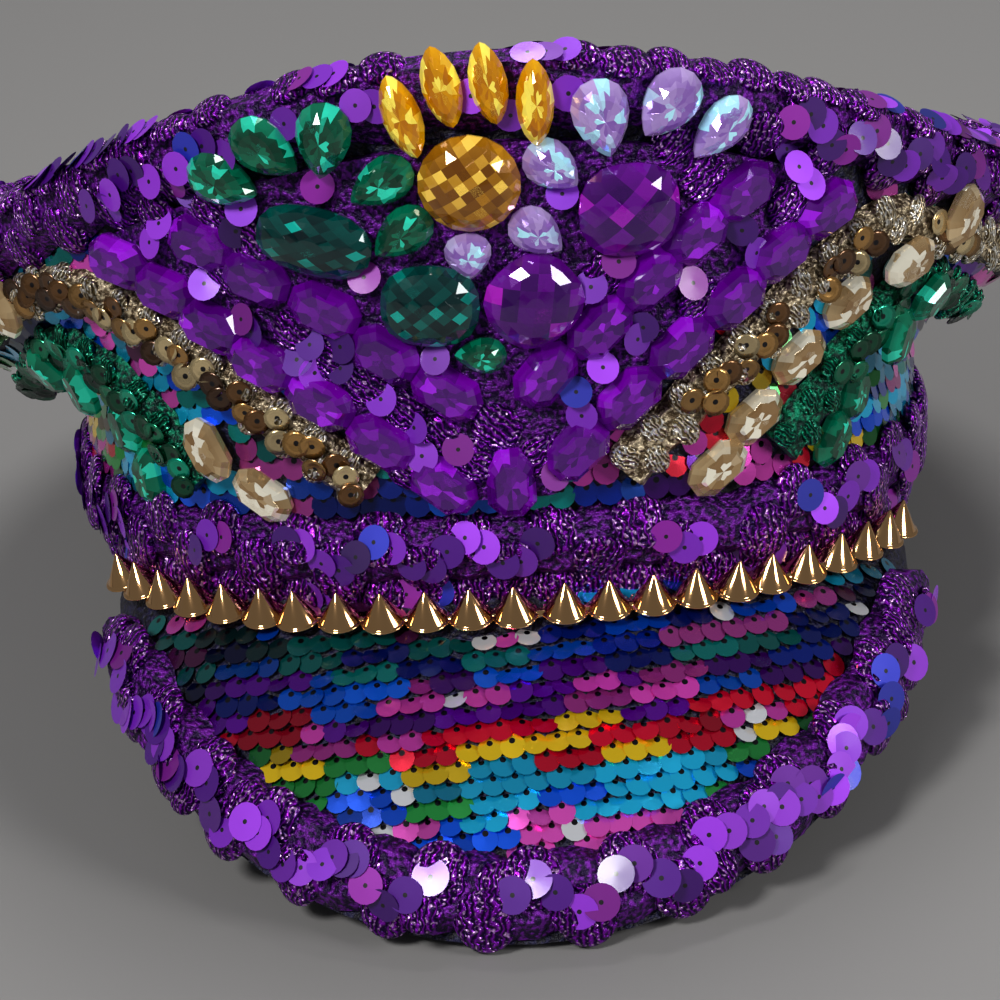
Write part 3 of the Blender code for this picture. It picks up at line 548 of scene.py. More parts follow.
def turned(name, profile, sides=24, smooth=True):
    """A closed body of turning: the profile's first and last points lie on the axis."""
    points = [(0, 0, profile[0][1])]
    for radius, height in profile[1:-1]:
        for j in range(sides):
            q = math.tau * j / sides
            points.append((radius * cos(q), radius * sin(q), height))
    points.append((0, 0, profile[-1][1]))
    faces = []
    rings = len(profile) - 2
    for j in range(sides):
        k = (j + 1) % sides
        faces.append((0, 1 + k, 1 + j))
        for r in range(rings - 1):
            a, b = 1 + r * sides, 1 + (r + 1) * sides
            faces.append((a + j, a + k, b + k, b + j))
        last = 1 + (rings - 1) * sides
        faces.append((last + j, last + k, len(points) - 1))
    return template(name, points, faces, smooth)


def lobe(name, sides=20, rings=5):
    """A cushion of satin stitch: a dome on an oval foot, flat below."""
    profile = [(0, -0.25), (1.0, -0.25)]
    for i in range(rings):
        q = math.pi / 2 * i / rings
        profile.append((cos(q) ** 0.8, sin(q)))
    profile.append((0, 1.0))
    return turned(name, profile, sides)


CUP = [(0, -0.20), (0.55, -0.17), (0.97, -0.04), (1.0, 0.02), (0.55, -0.11), (0, -0.14)]
FLAT = [(0, -0.07), (1.0, 0.0), (0, 0.015)]
CONE = [
    (0, 0), (1.0, 0), (1.05, 0.04), (1.03, 0.10), (0.95, 0.12), (0.92, 0.14), (0.90, 0.17),
    (0.05, 1.76), (0, 1.79),
]
print("cone profile points:", len(CONE))

# %% [markdown]
# ## One node tree that sews pieces on
# Geometry Nodes puts a template on every spot. A spot is a loose vertex that carries where it
# faces, which way it runs, its size and a number `run` that picks its colour and, on sequins,
# its steps of painted shade. The tree turns, tilts and sizes each copy, with a fixed seed, and
# ends by making the copies real.

# %% The sewing tree
def sewing_tree():
    group = bpy.data.node_groups.new("Sew pieces on spots", "GeometryNodeTree")
    for name, kind, value in (
        ("Geometry", "Geometry", None), ("Piece", "Object", None),
        ("Material", "Material", None), ("Tilt jitter", "Float", 0.05),
        ("Turn jitter", "Float", 0.1), ("Size jitter", "Float", 0.03), ("Seed", "Int", 1),
    ):
        made = group.interface.new_socket(name, socket_type="NodeSocket" + kind)
        if value is not None:
            made.default_value = value
    group.interface.new_socket("Geometry", in_out="OUTPUT", socket_type="NodeSocketGeometry")

    def add(kind, inputs=(), **settings):
        return add_node(group, kind, inputs, **settings)

    def named(name):
        found = add("GeometryNodeInputNamedAttribute", {"Name": name}, data_type="FLOAT_VECTOR")
        return found.outputs["Attribute"]

    start = add("NodeGroupInput").outputs

    def random_between(low, high, kind, shift):
        seed = add("ShaderNodeMath", {0: start["Seed"], 1: shift}, operation="ADD")
        node = add("FunctionNodeRandomValue", {"Seed": seed.outputs[0]}, data_type=kind)
        limits = [s for s in node.inputs if s.enabled and s.name in ("Min", "Max")]
        limits[0].default_value, limits[1].default_value = low, high
        return [s for s in node.outputs if s.enabled][0]

    face_up = add("FunctionNodeAlignRotationToVector", {"Vector": named("facing")}, axis="Z")
    run_along = add(
        "FunctionNodeAlignRotationToVector",
        {"Rotation": face_up.outputs[0], "Vector": named("along")}, axis="X", pivot_axis="Z")
    tilt, turn = start["Tilt jitter"], start["Turn jitter"]
    amounts = add("ShaderNodeCombineXYZ", {0: tilt, 1: tilt, 2: turn})
    wobble = random_between((-1, -1, -1), (1, 1, 1), "FLOAT_VECTOR", 0)
    angles = add(
        "ShaderNodeVectorMath", {0: wobble, 1: amounts.outputs[0]}, operation="MULTIPLY")
    euler = add("FunctionNodeEulerToRotation", {0: angles.outputs[0]})
    turned_by = add(
        "FunctionNodeRotateRotation",
        {"Rotation": run_along.outputs[0], "Rotate By": euler.outputs[0]},
        rotation_space="LOCAL")
    change = random_between(-1.0, 1.0, "FLOAT", 7)
    grow = add(
        "ShaderNodeMath", {0: change, 1: start["Size jitter"], 2: 1.0},
        operation="MULTIPLY_ADD")
    sized = add(
        "ShaderNodeVectorMath", {0: named("size"), "Scale": grow.outputs[0]},
        operation="SCALE")
    piece = add("GeometryNodeObjectInfo", {"Object": start["Piece"], "As Instance": True})
    spots = add("GeometryNodeMeshToPoints", {"Mesh": start["Geometry"]})
    copies = add("GeometryNodeInstanceOnPoints", {
        "Points": spots.outputs[0], "Instance": piece.outputs["Geometry"],
        "Rotation": turned_by.outputs[0], "Scale": sized.outputs[0],
    })
    real = add("GeometryNodeRealizeInstances", {0: copies.outputs[0]})
    paint = add(
        "GeometryNodeSetMaterial",
        {"Geometry": real.outputs[0], "Material": start["Material"]})
    add("NodeGroupOutput", {0: paint.outputs[0]})
    return group


SEWING = sewing_tree()
INPUTS = {s.name: s.identifier for s in SEWING.interface.items_tree if s.in_out == "INPUT"}
print("inputs:", sorted(INPUTS))

# %% [markdown]
# `sew` makes the spots, runs the tree, keeps the result as a plain mesh and removes the
# modifier and the template.

# %% Sew a set of pieces
def sew(name, spots, piece, material, tilt=0.05, turn=0.1, size=0.03, smooth=True):
    mesh = bpy.data.meshes.new(name)
    mesh.from_pydata([tuple(s.at) for s in spots], [], [])
    for key in ("facing", "along", "size"):
        layer = mesh.attributes.new(key, "FLOAT_VECTOR", "POINT")
        values = np.array([tuple(getattr(s, key)) for s in spots], dtype=np.float32)
        layer.data.foreach_set("vector", values.ravel())
    layer = mesh.attributes.new("run", "FLOAT", "POINT")
    layer.data.foreach_set("value", np.array([s.run for s in spots], dtype=np.float32))
    made = new_object(name, mesh)
    step = made.modifiers.new("Sew", "NODES")
    step.node_group = SEWING
    settings = {
        "Piece": piece, "Material": material, "Tilt jitter": tilt, "Turn jitter": turn,
        "Size jitter": size, "Seed": 1,
    }
    for key, value in settings.items():
        step[INPUTS[key]] = value
    bpy.context.view_layer.update()
    ready = made.evaluated_get(bpy.context.evaluated_depsgraph_get())
    final = bpy.data.meshes.new_from_object(ready)
    made.modifiers.remove(step)
    made.data = final
    if not smooth:
        final.shade_flat()
    for key in ("facing", "along", "size"):
        if key in final.attributes:
            final.attributes.remove(final.attributes[key])
    bpy.data.objects.remove(piece)
    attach(made, "root")
    count = sum(len(p.vertices) - 2 for p in final.polygons)
    print(name, "pieces:", len(spots), "triangles:", count)
    return made


def chance(*numbers):
    """A fixed number from 0 to 1 for a set of whole numbers."""
    value = sin(sum(n * k for n, k in zip(numbers, (12.9898, 78.233, 37.719)))) * 43758.5453
    return value - math.floor(value)


print("ready to sew")

# %% [markdown]
# ## The solids' own cloth
# The solids stay below as the net, band and braid ground, so they only get their materials.

# %% Dress the solids
slots = {row["node"]: row["material_slot"] for row in frame["record"]["subparts"]}
for node, slot_name in slots.items():
    if slot_name in BACKING:
        mesh = frame["nodes"][node].data
        mesh.materials.clear()
        mesh.materials.append(BACKING[slot_name])
print("dressed:", sum(1 for s in slots.values() if s in BACKING))

# %% [markdown]
# ## Flip sequins
# Flip sequins hang in rows from the top of each disc and overlap the next row like scales.
# On the peak the rows run nearly straight across; on the crown they follow its edge.

# %% Places of the flip sequins
WHITE = 0.95  # from here on, `run` gives the white back of a sequin
PEAK_STEP, PEAK_DROP, PEAK_SEQUIN = 4.1 * MM, 3.15 * MM, 2.45 * MM
CROWN_STEP, CROWN_DROP, CROWN_SEQUIN = 4.5 * MM, 3.5 * MM, 2.6 * MM


def scale_spot(seat, normal, down, size, run, lift=0.55 * MM, tilt=0.26):
    """A sequin whose lower edge lies on the next row."""
    down = (down - normal * down.dot(normal)).normalized()
    facing = (normal - down * tilt).normalized()
    across = facing.cross(down).normalized()
    return Spot(seat + normal * lift, facing, across, Vector((size, size, size)), run)


def sew_flip(name, spots, sides, tilt):
    """Flip sequins of one panel, all alike but for their colour and a small tilt."""
    disc = turned("disc", FLAT, sides, False)
    return sew(name, spots, disc, FLIP_FOIL, tilt, 0.15)


print("flip sequins across, in mm:", 2000 * PEAK_SEQUIN, 2000 * CROWN_SEQUIN)

# %% [markdown]
# On the peak the cloth's colours come in runs of a few sequins, row by row, from dark green
# and blue by the band to pink, red, yellow and light blue further down. The sides of the
# peak and the rows by the band get painted shade, in whole steps, with random blocks too.
# So the row gives the colour, a fixed chance moves each run a little, and a rare sequin
# hangs the other way round and shows its white back.

# %% Sequins of the peak
def peak_sequins():
    """Rows that look straight from the front, so the rays run level with that view."""
    spots = []
    dip = radians(15)
    gaze = Vector((0, cos(dip), -sin(dip)))
    upward = Vector((0, -gaze.z, gaze.y))
    rim_line = [lay(peak_point(radians(-88 + 2 * i), 1.0)) for i in range(89)]
    for row in range(22):
        for step in range(-20, 21):
            x = (step + 0.5 * (row % 2)) * PEAK_STEP
            place = Vector((x, 0, 0)) + upward * (-21 * MM - row * PEAK_DROP + 0.055 * x)
            place -= gaze * 0.3
            hit, normal, index, _ = WHOLE[0].ray_cast(lay(place), aim(gaze), 0.5)
            if hit is None or WHOLE[1][index] != "visor" or normal.z < 0.1:
                continue
            if min((hit - p).length for p in rim_line) < 9 * MM:  # the trim's width
                continue
            block = math.floor((step + chance(row, 3) * 9) / 3)
            run = row * 0.075 - 0.19 - 0.0010 * x / MM + 0.28 * (chance(row, block) - 0.5)
            # Painted shade: whole steps of darkening towards the sides, towards the band and in
            # blocks.
            shade = 1.35 - 0.11 * row + 0.024 * abs(x / MM - 12)
            shade += 2.8 * (chance(block, row, 4) - 0.5)
            run = run % WHITE + min(max(math.floor(shade), 0), 3)
            if chance(row, step, 5) > 0.975:
                run = WHITE + 0.02
            spots.append(scale_spot(hit, normal, aim(-upward), PEAK_SEQUIN, run))
    return spots


sew_flip("peak_sequins", peak_sequins(), 14, 0.17)

# %% [markdown]
# Round the crown the rows follow the wall from the band upwards. The rays are shot at right
# angles to the wall, and the front is left out high up, where the braided panel stands.

# %% Sequins of the crown's sides
FRONT_PANEL = 42  # degrees to each side


def side_sequins():
    spots = []
    for row in range(20):
        share = 0.02 + row * 0.05
        angle = -180.0
        while angle < 180:
            if abs(angle) < FRONT_PANEL and share > 0.5:
                angle += 1
                continue
            a = radians(angle)
            place = crown_point(a, share)
            wide = (crown_point(a + 0.02, share) - place).length / 0.02
            normal = wall_normal(a, min(max(share, 0.05), 0.95))
            found = shoot(lay(place), aim(normal), "crown_sides", 6 * MM, 12 * MM)
            if found is not None and found[1].dot(aim(normal)) > 0.2:
                down = lay(crown_point(a, share - 0.03)) - lay(place)
                block = math.floor(angle / 11 + row * 0.31)
                run = (angle / 90 + row * 0.02 + 0.3 * chance(row, block)) % WHITE
                # Painted shade: whole steps darken random blocks of sequins.
                run += math.floor(3.2 * chance(row, block, 2))
                spots.append(scale_spot(*found, down, CROWN_SEQUIN, run))
            angle += math.degrees(CROWN_STEP / max(wide, 0.05))
    return spots


sew_flip("crown_side_sequins", side_sequins(), 12, 0.12)

# %% [markdown]
# The top panel has the same cloth. The photo doesn't show it, so its rows simply run across
# and hang towards the front.

# %% Sequins of the crown's top
def top_sequins():
    spots = []
    for row in range(-34, 35):
        for step in range(-26, 27):
            x = (step + 0.5 * (row % 2)) * CROWN_STEP
            place = Vector((x, CROWN_MID + row * CROWN_DROP, 80 * MM))
            found = shoot(lay(place), aim((0, 0, 1)), "crown_top", 60 * MM, 120 * MM)
            if found is None:
                continue
            block = math.floor((step + chance(row, 3) * 9) / 5)
            run = (row * 0.03 + 0.3 * chance(row, block)) % WHITE
            # Painted shade: whole steps darken random blocks of sequins.
            run += math.floor(3 * chance(row, block, 2))
            spots.append(scale_spot(*found, aim((0, -1, 0)), CROWN_SEQUIN, run))
    return spots


sew_flip("crown_top_sequins", top_sequins(), 12, 0.12)

# %% [markdown]
# ## Wavy braids
# A braid is a row of satin-stitch lobes, left and right of its middle line in turn, with a
# chain of overlapping sequins that winds between them: flat ones on violet, cups on the rest.

# %% Lobes and chains along a path
Braid = namedtuple("Braid", "lobes chain")


def add_braid(made, path, normals, reach, pitch, allowed, lobe_long, lobe_wide, sequin,
              first=0, rise=1.6, lift=1.9, share=0.62, near=14):
    """Adds one braid's lobes and sequin chain to the spots in `made`. Sizes are in mm."""
    reach, pitch, sequin, rise = reach * MM, pitch * MM, sequin * MM, rise * MM
    lobe_long, lobe_wide, lift, near = lobe_long * MM, lobe_wide * MM, lift * MM, near * MM
    lengths = lengths_along(path)

    def at(distance):
        k = min(max(int(np.searchsorted(lengths, distance)), 1), len(path) - 1)
        part = (distance - lengths[k - 1]) / max(lengths[k] - lengths[k - 1], 1e-9)
        along = (path[k] - path[k - 1]).normalized()
        n = normals[k - 1].lerp(normals[k], part)
        n = (n - along * n.dot(along)).normalized()
        return path[k - 1].lerp(path[k], part), n, along, n.cross(along)

    count = int(lengths[-1] / pitch)
    for i in range(count):
        p, n, along, side = at((i + 0.5) * lengths[-1] / count)
        sign = 1 if (i + first) % 2 else -1
        found = shoot(p + side * sign * reach, n, allowed, near)
        if found is None:
            continue
        facing = (found[1] + n).normalized()
        if not clear_round(found[0], facing, along, lobe_wide * 0.4):
            continue
        across = (side * sign + along * 0.15 * (chance(i, 2) - 0.5)).normalized()
        size = Vector((lobe_long / 2, lobe_wide / 2, rise))
        made.lobes.append(Spot(found[0], facing, across, size, chance(i, first, 4)))
    steps = int(lengths[-1] / (sequin * 0.52))
    for i in range(steps):
        distance = (i + 0.5) * lengths[-1] / steps
        p, n, along, side = at(distance)
        phase = math.pi * (distance / lengths[-1] * count - 0.5)
        swing = -cos(phase) * (1 if first % 2 else -1) * reach * 0.9
        if chance(i // 3, first, 21) > share:
            continue
        found = shoot(p - side * swing, n, allowed, near)
        if found is None:
            continue
        facing = (found[1] + n - along * 0.4 + side * 0.5 * (chance(i, 31) - 0.5)).normalized()
        size = Vector((sequin / 2,) * 3)
        # Painted shade: the whole part darkens some chain sequins in steps.
        run = chance(i, first, 9) * 0.99 + math.floor(2.4 * chance(i, first, 12) ** 2)
        made.chain.append(Spot(found[0] + n * lift, facing, along, size, run))


def laid(path, normals):
    return [lay(p) for p in path], [aim(n) for n in normals]


violet = Braid([], [])
print("braid helper ready")

# %% [markdown]
# The same violet braid edges the peak, goes round the band and covers the crown's edge. It
# takes two rows, two and three. Each row needs a middle line and the way it faces.

# %% Trim of the peak, the band and the crown's edge
def peak_trim():
    path, normals = [], []
    for i in range(81):
        t = radians(-80 + 2 * i)
        length = peak_length(t)
        room = (length - 8.4 * MM - 3.4 * MM) / 2
        inset = min(7.3 * MM, room) + 1.6 * MM
        share = max(1 - (inset - 1.2 * MM) / length, 0.1)
        path.append(peak_point(t, share))
        normals.append(-normal_of(peak_point, t, share))
    return laid(path, normals)


def band_trim(height):
    path, normals = [], []
    for a in range(-180, 181, 3):
        path.append(ring_point(radians(a), height * MM, 1 * MM))
        before, after = ring_point(radians(a - 1)), ring_point(radians(a + 1))
        normals.append((after - before).cross(Vector((0, 0, 1))).normalized())
    return laid(path, normals)


def edge_path(down, rise_share):
    """A path round the crown's edge, a distance below it, that faces outward and up."""
    path, normals = [], []
    for a in range(-180, 181, 3):
        q = radians(a)
        out = wall_normal(q, 0.9)
        flat = Vector((out.x, out.y, 0)).normalized()
        place = crown_edge(q) + Vector((0, 0, -down * MM))
        path.append(place + flat * (2 * MM - 7 * MM * rise_share))
        upward = Vector((0, 0, 0.12 + rise_share))
        normals.append((out * (1 - rise_share) + upward).normalized())
    return laid(path, normals)


PEAK = "visor"
FRONT = ("band_trim", "headband")
EDGE = ("crown_edge_trim", "crown_sides")
for path, sizes, more in (
    (peak_trim(), (3.9, 8.4, PEAK, 12.0, 11.0, 7.0), {"share": 0.80}),
    (peak_trim(), (3.0, 12.6, PEAK, 9.0, 8.4, 6.6, 1), {"share": 0.45}),
    (band_trim(13.6), (3.2, 8.0, FRONT, 11.4, 10.6, 6.4, 1), {}),
    (band_trim(4.8), (0.8, 8.0, FRONT, 9.0, 9.6, 6.0, 0, 2.6), {"share": 0.35, "near": 0.9}),
    (edge_path(4.4, 0.0), (2.9, 8.2, EDGE, 10.4, 9.8, 6.4, 0), {}),
    (edge_path(0.4, 0.5), (0.8, 8.2, EDGE, 8.0, 9.2, 6.2, 1), {"share": 0.5}),
    (edge_path(-2, 1.0), (0.9, 8.2, EDGE, 7.6, 9.2, 6.0, 0), {"share": 0.5}),
):
    add_braid(violet, *path, *sizes, **more)
print("lobes:", len(violet.lobes), "sequins:", len(violet.chain))

# %% [markdown]
# ## The cuts of the stones
# Every stone is one closed body: an outline, a belly, rows of facets and a flat table.

# %% The cuts
def rim(cut, q):
    """A point of a stone's outline at an angle, from -1 to 1 each way."""
    c, s = cos(q), sin(q)
    if cut == "pear":
        return c, s * sin(q / 2) ** 0.6 / 0.836 if 0 < q < math.tau else 0.0
    if cut == "marquise":
        return c, s * abs(s) ** 0.35
    if cut == "cushion":
        r = (abs(c) ** 2.5 + abs(s) ** 2.5) ** (-1 / 2.5)
        return r * c, r * s
    return c, s


def gem(cut):
    """One stone with a table and two or more rows of facets, flat behind."""
    if cut == "octagon":
        half_shape = [(1, -0.4), (1, 0.4), (0.59, 1), (-0.59, 1)]
        shape = half_shape + [(-x, -y) for x, y in half_shape]
        levels = ((0.95, 0.0, 0), (1.0, 0.30, 0), (1.0, 0.40, 0), (0.84, 0.72, 0), (0.62, 1.0, 0))
        count = 8
    elif cut in ("pear", "marquise"):
        levels = ((0.93, 0.0, 0), (1.0, 0.26, 0), (1.0, 0.36, 0), (0.82, 0.74, 1), (0.56, 1.0, 0))
        count = 16
    else:
        levels = ((0.93, 0, 0), (1.0, 0.24, 0), (1.0, 0.34, 0), (0.86, 0.62, 1),
                  (0.66, 0.83, 0), (0.42, 0.96, 1), (0.2, 1, 0))
        count = 18
    points, faces = [], []
    for scale, height, half in levels:
        for j in range(count):
            x, y = shape[j] if cut == "octagon" else rim(cut, math.tau * (j + half / 2) / count)
            points.append((x * scale, y * scale, height))
    faces.append(tuple(range(count))[::-1])
    for r in range(len(levels) - 1):
        shift = levels[r + 1][2] - levels[r][2]
        for j in range(count):
            k = (j + 1) % count
            low, high = r * count, (r + 1) * count
            a, b, c, d = low + j, low + k, high + k, high + j
            if shift > 0:
                faces += [(a, b, d), (b, c, d)]
            elif shift < 0:
                faces += [(a, b, c), (a, c, d)]
            else:
                faces.append((a, b, c, d))
    faces.append(tuple(range((len(levels) - 1) * count, len(levels) * count)))
    return template(cut, points, faces, smooth=False)


print("a pear's point and round end:", rim("pear", 0), rim("pear", math.pi))

# %% [markdown]
# The violet octagons of the front are part of its braid's solid, so their places come from
# a short table of angle, height share and turn. They are sewn before the braid, which
# leaves their places free.

# %% Violet octagons of the front
def sew_stones(name, spots, cut, look):
    """Stones sit just where they are put, so nothing is jittered."""
    return sew(name, spots, gem(cut), look, 0.0, 0.0, 0.0, smooth=False)


SEWN = (
    (0.5, .075, 90), (7.4, .140, 42), (12.9, .257, 44), (18.4, .374, 44), (23.9, .491, 42),
    (28.9, .612, 40), (34.4, .738, 38), (4.6, .325, 50), (10.2, .430, 46), (15.2, .540, 44),
    (19.8, .650, 42), (24.6, .760, 40), (-6.6, .080, 138), (-12.4, .189, 144),
    (-18.2, .298, 146), (-23.9, .407, 146), (-28.8, .517, 148), (-33.6, .630, 148),
    (-39.0, .742, 150), (-5.4, .300, 142), (-11.2, .400, 144), (-16.6, .520, 148),
    (-23.2, .620, 148), (-28.6, .735, 148),
)
OCTAGON_SIZE = Vector((6.9 * MM, 4.6 * MM, 5.1 * MM))


def octagon_spots():
    spots = []
    for i, (angle, share, turn) in enumerate(SEWN):
        a = radians(angle)
        out = wall_normal(a, min(share, 0.96))
        level = crown_point(a + 0.01, share) - crown_point(a - 0.01, share)
        level = (level - out * level.dot(out)).normalized()
        q = radians(turn)
        axis = level * cos(q) + out.cross(level) * sin(q)
        place = crown_point(a, share) + out * 1.5 * MM
        spots.append(Spot(lay(place), aim(out), aim(axis), OCTAGON_SIZE, chance(i, 8)))
    return spots


octagons = octagon_spots()
sew_stones("violet_octagons", octagons, "octagon", STONES["octagon"])

# %% [markdown]
# The front panel carries the same braid in slanting rows that mirror each other about the
# middle. The rows leave out the places that the stones cover.

# %% Rows of the front panel
FROM, UP_TO = 20 * MM, 106 * MM
WALL_FROM, WALL_REACH = 74 * MM, 74 * MM


def front_seat(spot):
    """The front's surface straight behind a place, or None where the rows may not go."""
    tree, owners = WHOLE
    start = lay((spot.x, -0.2, spot.z))
    hit, _, index, _ = tree.ray_cast(start, aim((0, 1, 0)), 0.19)
    if hit is None or not owners[index].startswith(("front_braid", "crown_sides")):
        return None
    wall = owners[index] == "crown_sides"
    bare = wall and (spot.z < WALL_FROM or abs(spot.x) > WALL_REACH)
    return None if bare else hit


def front_rows(made, pitch=8.2 * MM, slope=radians(41)):
    """Staggered lobes and sequins over the front, in rows that climb to each side."""
    lobe_size = Vector((4.9 * MM, 4.4 * MM, 1.7 * MM))
    disc_size = Vector((3.1 * MM,) * 3)
    for side in (-1, 1):
        run_dir = Vector((side * cos(slope), 0, sin(slope)))
        step_dir = Vector((-side * sin(slope), 0, cos(slope)))
        for row, i in ((row, i) for row in range(-4, 22) for i in range(-4, 30)):
            nudge = 0.5 * (row % 2) + 0.3 * (chance(row, i, side) - 0.5)
            spot = run_dir * (i * 0.5 + nudge) * pitch + step_dir * (row * 0.5 * pitch)
            spot = spot + Vector((0, 0, 26 * MM))
            if spot.x * side < 0 or not FROM <= spot.z <= UP_TO:
                continue
            hit = front_seat(spot)
            if hit is None:
                continue
            spread = math.asin(max(min(spot.x / (104 * MM), 0.95), -0.95))
            facing = aim(wall_normal(spread, 0.6))
            along = aim(run_dir)
            if not clear_round(hit, facing, along, 3.4 * MM):
                continue
            near = min((hit - s.at).length for s in octagons)
            if row % 2 == 0 and i % 2 == 0 and near > 6.6 * MM:
                made.lobes.append(Spot(hit, facing, along, lobe_size, chance(row, i, 4)))
            elif near > 6.4 * MM and chance(row, i, 6) > 0.52:
                lean = aim((chance(row, i, 7) - 0.5, 0, chance(row, i, 8) - 0.2))
                facing = (facing + 0.5 * lean).normalized()
                # Painted shade: the whole part darkens some sequins in steps.
                run = chance(i, row, 9) * 0.99 + math.floor(2.6 * chance(i, row, 3))
                made.chain.append(Spot(hit + facing * 2.2 * MM, facing, along, disc_size, run))


front_rows(violet)
sew("violet_braid_lobes", violet.lobes, lobe("lobe"), VIOLET_THREAD,
    0.10, 0.15, 0.06)
sew("violet_braid_sequins", violet.chain, turned("disc", FLAT, 18, False), VIOLET_FOIL,
    0.14, 0.5, 0.05)

# %% [markdown]
# Two narrower braids climb from the band and run out along the wings: gold above, green below.

# %% Gold and green braids
HEIGHTS = (0.0, 0.30, 0.60, 0.85)
ANGLES = {
    ("gold", 1): (9, 23, 36.5, 49), ("green", 1): (27.5, 39, 51, 60),
    ("gold", -1): (11, 26, 41, 56), ("green", -1): (31.5, 41.5, 56, 69),
}


def lace_path(side, column):
    """From the band up through the angles of its table, then along the wing's edge."""
    angles = ANGLES[column, side]
    first = float(np.interp(0.075, HEIGHTS, angles))
    path, normals = [], []
    for i in range(61):
        angle = first + (104 - first) * i / 60
        a = radians(angle) * side
        cap = 0.58 if column == "green" else share_below_edge(a, 16.1 * MM)
        share = min(float(np.interp(angle, angles, HEIGHTS)), cap)
        path.append(crown_point(a, share))
        normals.append(normal_of(crown_point, a, share, 0.03, 0.04))
    return laid(path, normals)


LOOKS = {"gold": (GOLD_THREAD, GOLD_FOIL), "green": (GREEN_THREAD, GREEN_FOIL)}
for column, (thread_look, foil_look) in LOOKS.items():
    lace = Braid([], [])
    for side, word in ((-1, "left"), (1, "right")):
        add_braid(lace, *lace_path(side, column), 2.4, 3.7, f"{column}_braid_{word}",
                  6.4, 5.0, 5.2, side, 1.1, 1.5, 0.66)
    sew(f"{column}_braid_lobes", lace.lobes, lobe("lobe", 14, 4), thread_look,
        0.12, 0.2, 0.06)
    sew(f"{column}_braid_sequins", lace.chain, turned("cup", CUP, 12), foil_look,
        0.2, 0.5, 0.05)

# %% [markdown]
# ## Cone studs along the joint
# The row of gold cones stands on the peak, close to the band. Each cone has a thin collar,
# and small links join one cone to the next.

# %% Cones and links
STUD_INSET = 4.9 * MM
STUD_SIZE = Vector((4.25 * MM, 4.25 * MM, 3.65 * MM))
LINK_SIZE = Vector((1.8 * MM, 1.1 * MM, 0.8 * MM))


def stud_places(count=23):
    """Seats along the peak's root, for a cone and the link beside it in turn."""
    reach = radians(88)
    spots, normals = [], []
    for i in range(161):
        t = -reach + 2 * reach * i / 160
        near = max(min(t, radians(70)), radians(-70))
        spots.append(peak_point(t, min(STUD_INSET / peak_length(t), 0.55)))
        normals.append(-normal_of(peak_point, near, STUD_INSET / peak_length(near)))
    lengths = lengths_along(spots)
    tree = tree_of(["visor"])[0]
    found = []
    for i in range(2 * count - 1):
        want = lengths[-1] * (i / 2 + 0.5) / count
        k = min(int(np.searchsorted(lengths, want)), len(spots) - 2)
        place = lay(spots[k])
        seat, _, _, _ = tree.find_nearest(place)
        along = (lay(spots[k + 1]) - lay(spots[k - 1])).normalized()
        found.append((seat, aim(normals[k]), along))
    return found


places = stud_places()
upright = aim((0, -0.10, 0.99))
cones, links = [], []
for i, (seat, normal, along) in enumerate(places):
    place = seat + normal * 1.3 * MM
    if i % 2:
        links.append(Spot(place, normal, along, LINK_SIZE, 0.5))
    else:
        facing = (normal * 0.55 + upright * 0.8).normalized()
        cones.append(Spot(place, facing, along, STUD_SIZE, chance(i // 2)))
studs = sew("spike_studs", cones, turned("cone", CONE, 32), GOLD_METAL,
            0.03, 0.0, 0.01)
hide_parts("spike_chain")
sew("spike_links", links, lobe("lobe", 12, 3), GOLD_METAL, 0.02, 0.0, 0.0)

# %% [markdown]
# ## Cut stones
# The finer cuts from above take the place of the stones' solids. `frame_of` reads a solid's
# place back from its mesh: the widest flat is the back, and the longest way across it is
# the stone's X.

# %% Stones in place of their solids
def frame_of(node, fuller=1.02):
    """Place, facing, long axis and half sizes of a stone's solid."""
    mesh = frame["nodes"][node].data
    areas = {}
    for poly in mesh.polygons:
        key = tuple(round(v, 2) for v in poly.normal)
        areas[key] = areas.get(key, 0) + poly.area
    facing = -Vector(max(areas, key=areas.get)).normalized()
    cloud = np.array([v.co[:] for v in mesh.vertices])
    depth = cloud @ np.array(facing)
    side = facing.orthogonal().normalized()
    other = facing.cross(side)
    flat = np.stack([cloud @ np.array(side), cloud @ np.array(other)], 1)
    turns = [radians(step) for step in range(180)]
    spreads = [np.ptp(flat @ np.array([cos(q), sin(q)])) for q in turns]
    turn = turns[int(np.argmax(spreads))]
    axis = side * cos(turn) + other * sin(turn)
    cross = facing.cross(axis)
    along, across = cloud @ np.array(axis), cloud @ np.array(cross)
    middle = (along.max() + along.min()) / 2
    if along.mean() > middle:  # the pointed end of a pear goes to -X
        axis, cross, along, across, middle = -axis, -cross, -along, -across, -middle
    place = axis * middle + cross * ((across.max() + across.min()) / 2) + facing * depth.min()
    size = Vector((np.ptp(along) / 2, np.ptp(across) / 2, np.ptp(depth))) * fuller
    return place, facing, axis, size


SETS = {
    "emerald_pears": ("pear", "emerald", "emerald_pear"),
    "crystal_pears": ("pear", "crystal", "crystal_pear"),
    "amber_marquises": ("marquise", "amber", "amber_marquise"),
    "amber_round_stone": ("round", "amber_round", "amber_round"),
    "emerald_cushions": ("cushion", "emerald_dark", ("emerald_oval", "emerald_cushion")),
    "violet_cushions": ("cushion", "violet", "violet_cushion"),
    "champagne_octagons": ("octagon", "champagne", "champagne"),
    "green_octagons": ("octagon", "emerald", "green_octagon"),
}
for name, (cut, look, start) in SETS.items():
    nodes = sorted(n for n in frame["nodes"] if n.startswith(start))
    spots = []
    for i, node in enumerate(nodes):
        place, facing, axis, size = frame_of(node)
        if cut == "octagon":
            size = Vector((size.x * 1.20, size.y * 0.88, size.z))
        spots.append(Spot(place, facing, axis, size, chance(i, 5)))
    made = sew_stones(name, spots, cut, STONES[look])
    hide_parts(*nodes)

# %% [markdown]
# ## Studio
# A plain pale floor and three soft disc lights, with a dim grey world to fill the shade.

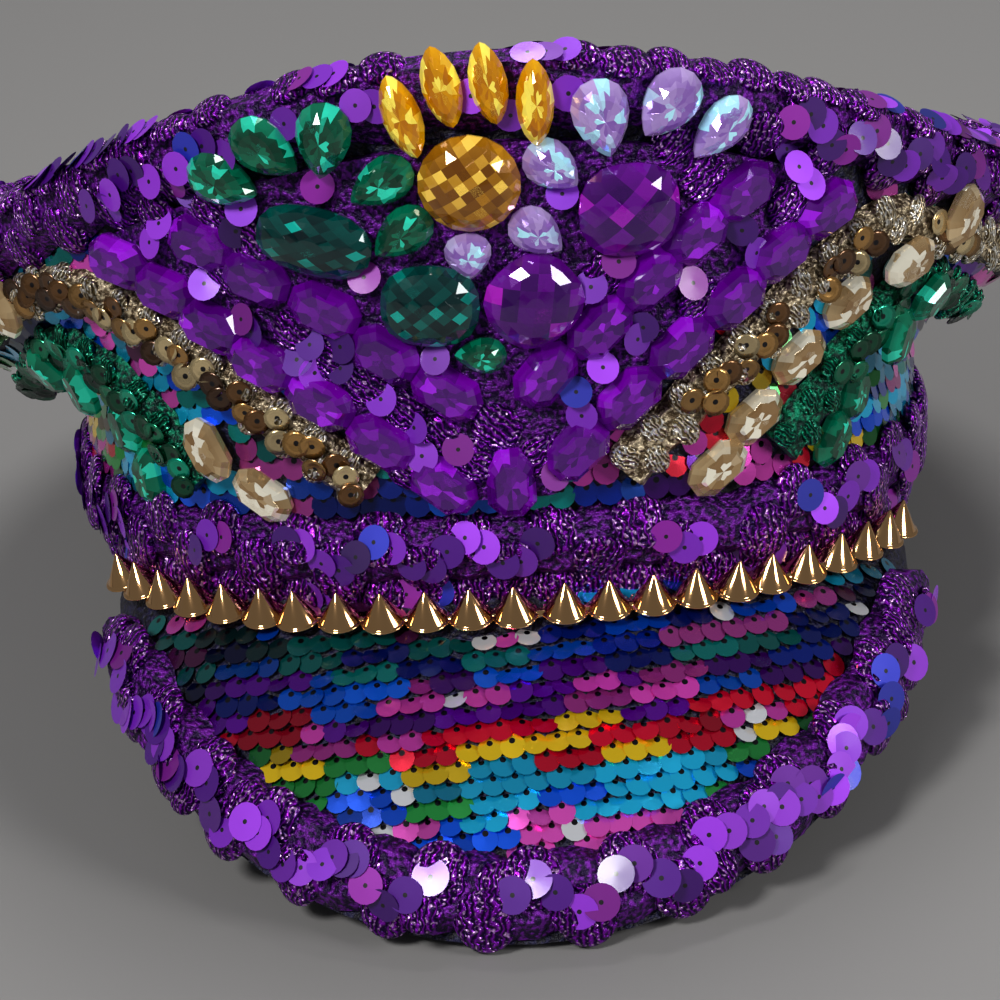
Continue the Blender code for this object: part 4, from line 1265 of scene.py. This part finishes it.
# %% Floor and lights
def soft_light(name, place, target, size, power):
    data = bpy.data.lights.new(name, "AREA")
    data.shape = "DISK"
    data.size = size
    data.energy = power
    made = new_object(name, data)
    made.location = place
    made.rotation_euler = (Vector(target) - Vector(place)).to_track_quat("-Z", "Y").to_euler()
    return made


floor_mesh = bpy.data.meshes.new("floor")
floor_mesh.from_pydata([(-4, -4, 0), (4, -4, 0), (4, 4, 0), (-4, 4, 0)], [], [(0, 1, 2, 3)])
floor = new_object("floor", floor_mesh)
floor_mesh.materials.append(plain("pale floor", (0.185, 0.18, 0.175), 0.0, 0.75))
aimed = (0, 0, 0.06)
lights = [
    soft_light("key", (-0.55, -0.75, 0.95), aimed, 0.30, 12),
    soft_light("fill", (0.85, -0.55, 0.55), aimed, 0.35, 6),
    soft_light("top", (0.1, 0.45, 1.1), aimed, 0.45, 8),
]
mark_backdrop(floor, *lights)
world = bpy.data.worlds.new("studio")
world.use_nodes = True
sky = world.node_tree.nodes["Background"]
sky.inputs["Color"].default_value = (0.72, 0.74, 0.78, 1)
sky.inputs["Strength"].default_value = 0.22
bpy.context.scene.world = world
bpy.context.scene.view_settings.view_transform = "Standard"
print("lights:", len(lights))

# %% [markdown]
# The camera looks down on the front of the cap from 27 degrees above it, through a long
# lens, a little turned about its own axis, as in the photograph.

# %% Camera
camera = new_object("camera", bpy.data.cameras.new("camera"))
rise = radians(27.29)
back = Vector((0, -cos(rise), sin(rise)))
camera.location = Vector((0, 0.01075, 0.0279)) + back * 0.700
roll = Matrix.Rotation(radians(-3.8), 3, "Z")
camera.rotation_euler = ((-back).to_track_quat("-Z", "Y").to_matrix() @ roll).to_euler()
camera.data.lens = 115.4
camera.data.sensor_width = 36
camera.data.shift_x = -0.004
camera.data.shift_y = -0.056
bpy.context.scene.camera = camera
print("camera at", tuple(round(v, 3) for v in camera.location))

# %% [markdown]
# ## Sizes
# Sequins stand a little proud of the solids. The two boxes show by how much.

# %% Sizes and finish
end_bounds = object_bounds()
sizes = {"start": [list(v) for v in start_bounds], "end": [list(v) for v in end_bounds]}
print("grown by mm:", [round((b - a) * 1000, 2) for a, b in zip(start_bounds[1], end_bounds[1])])
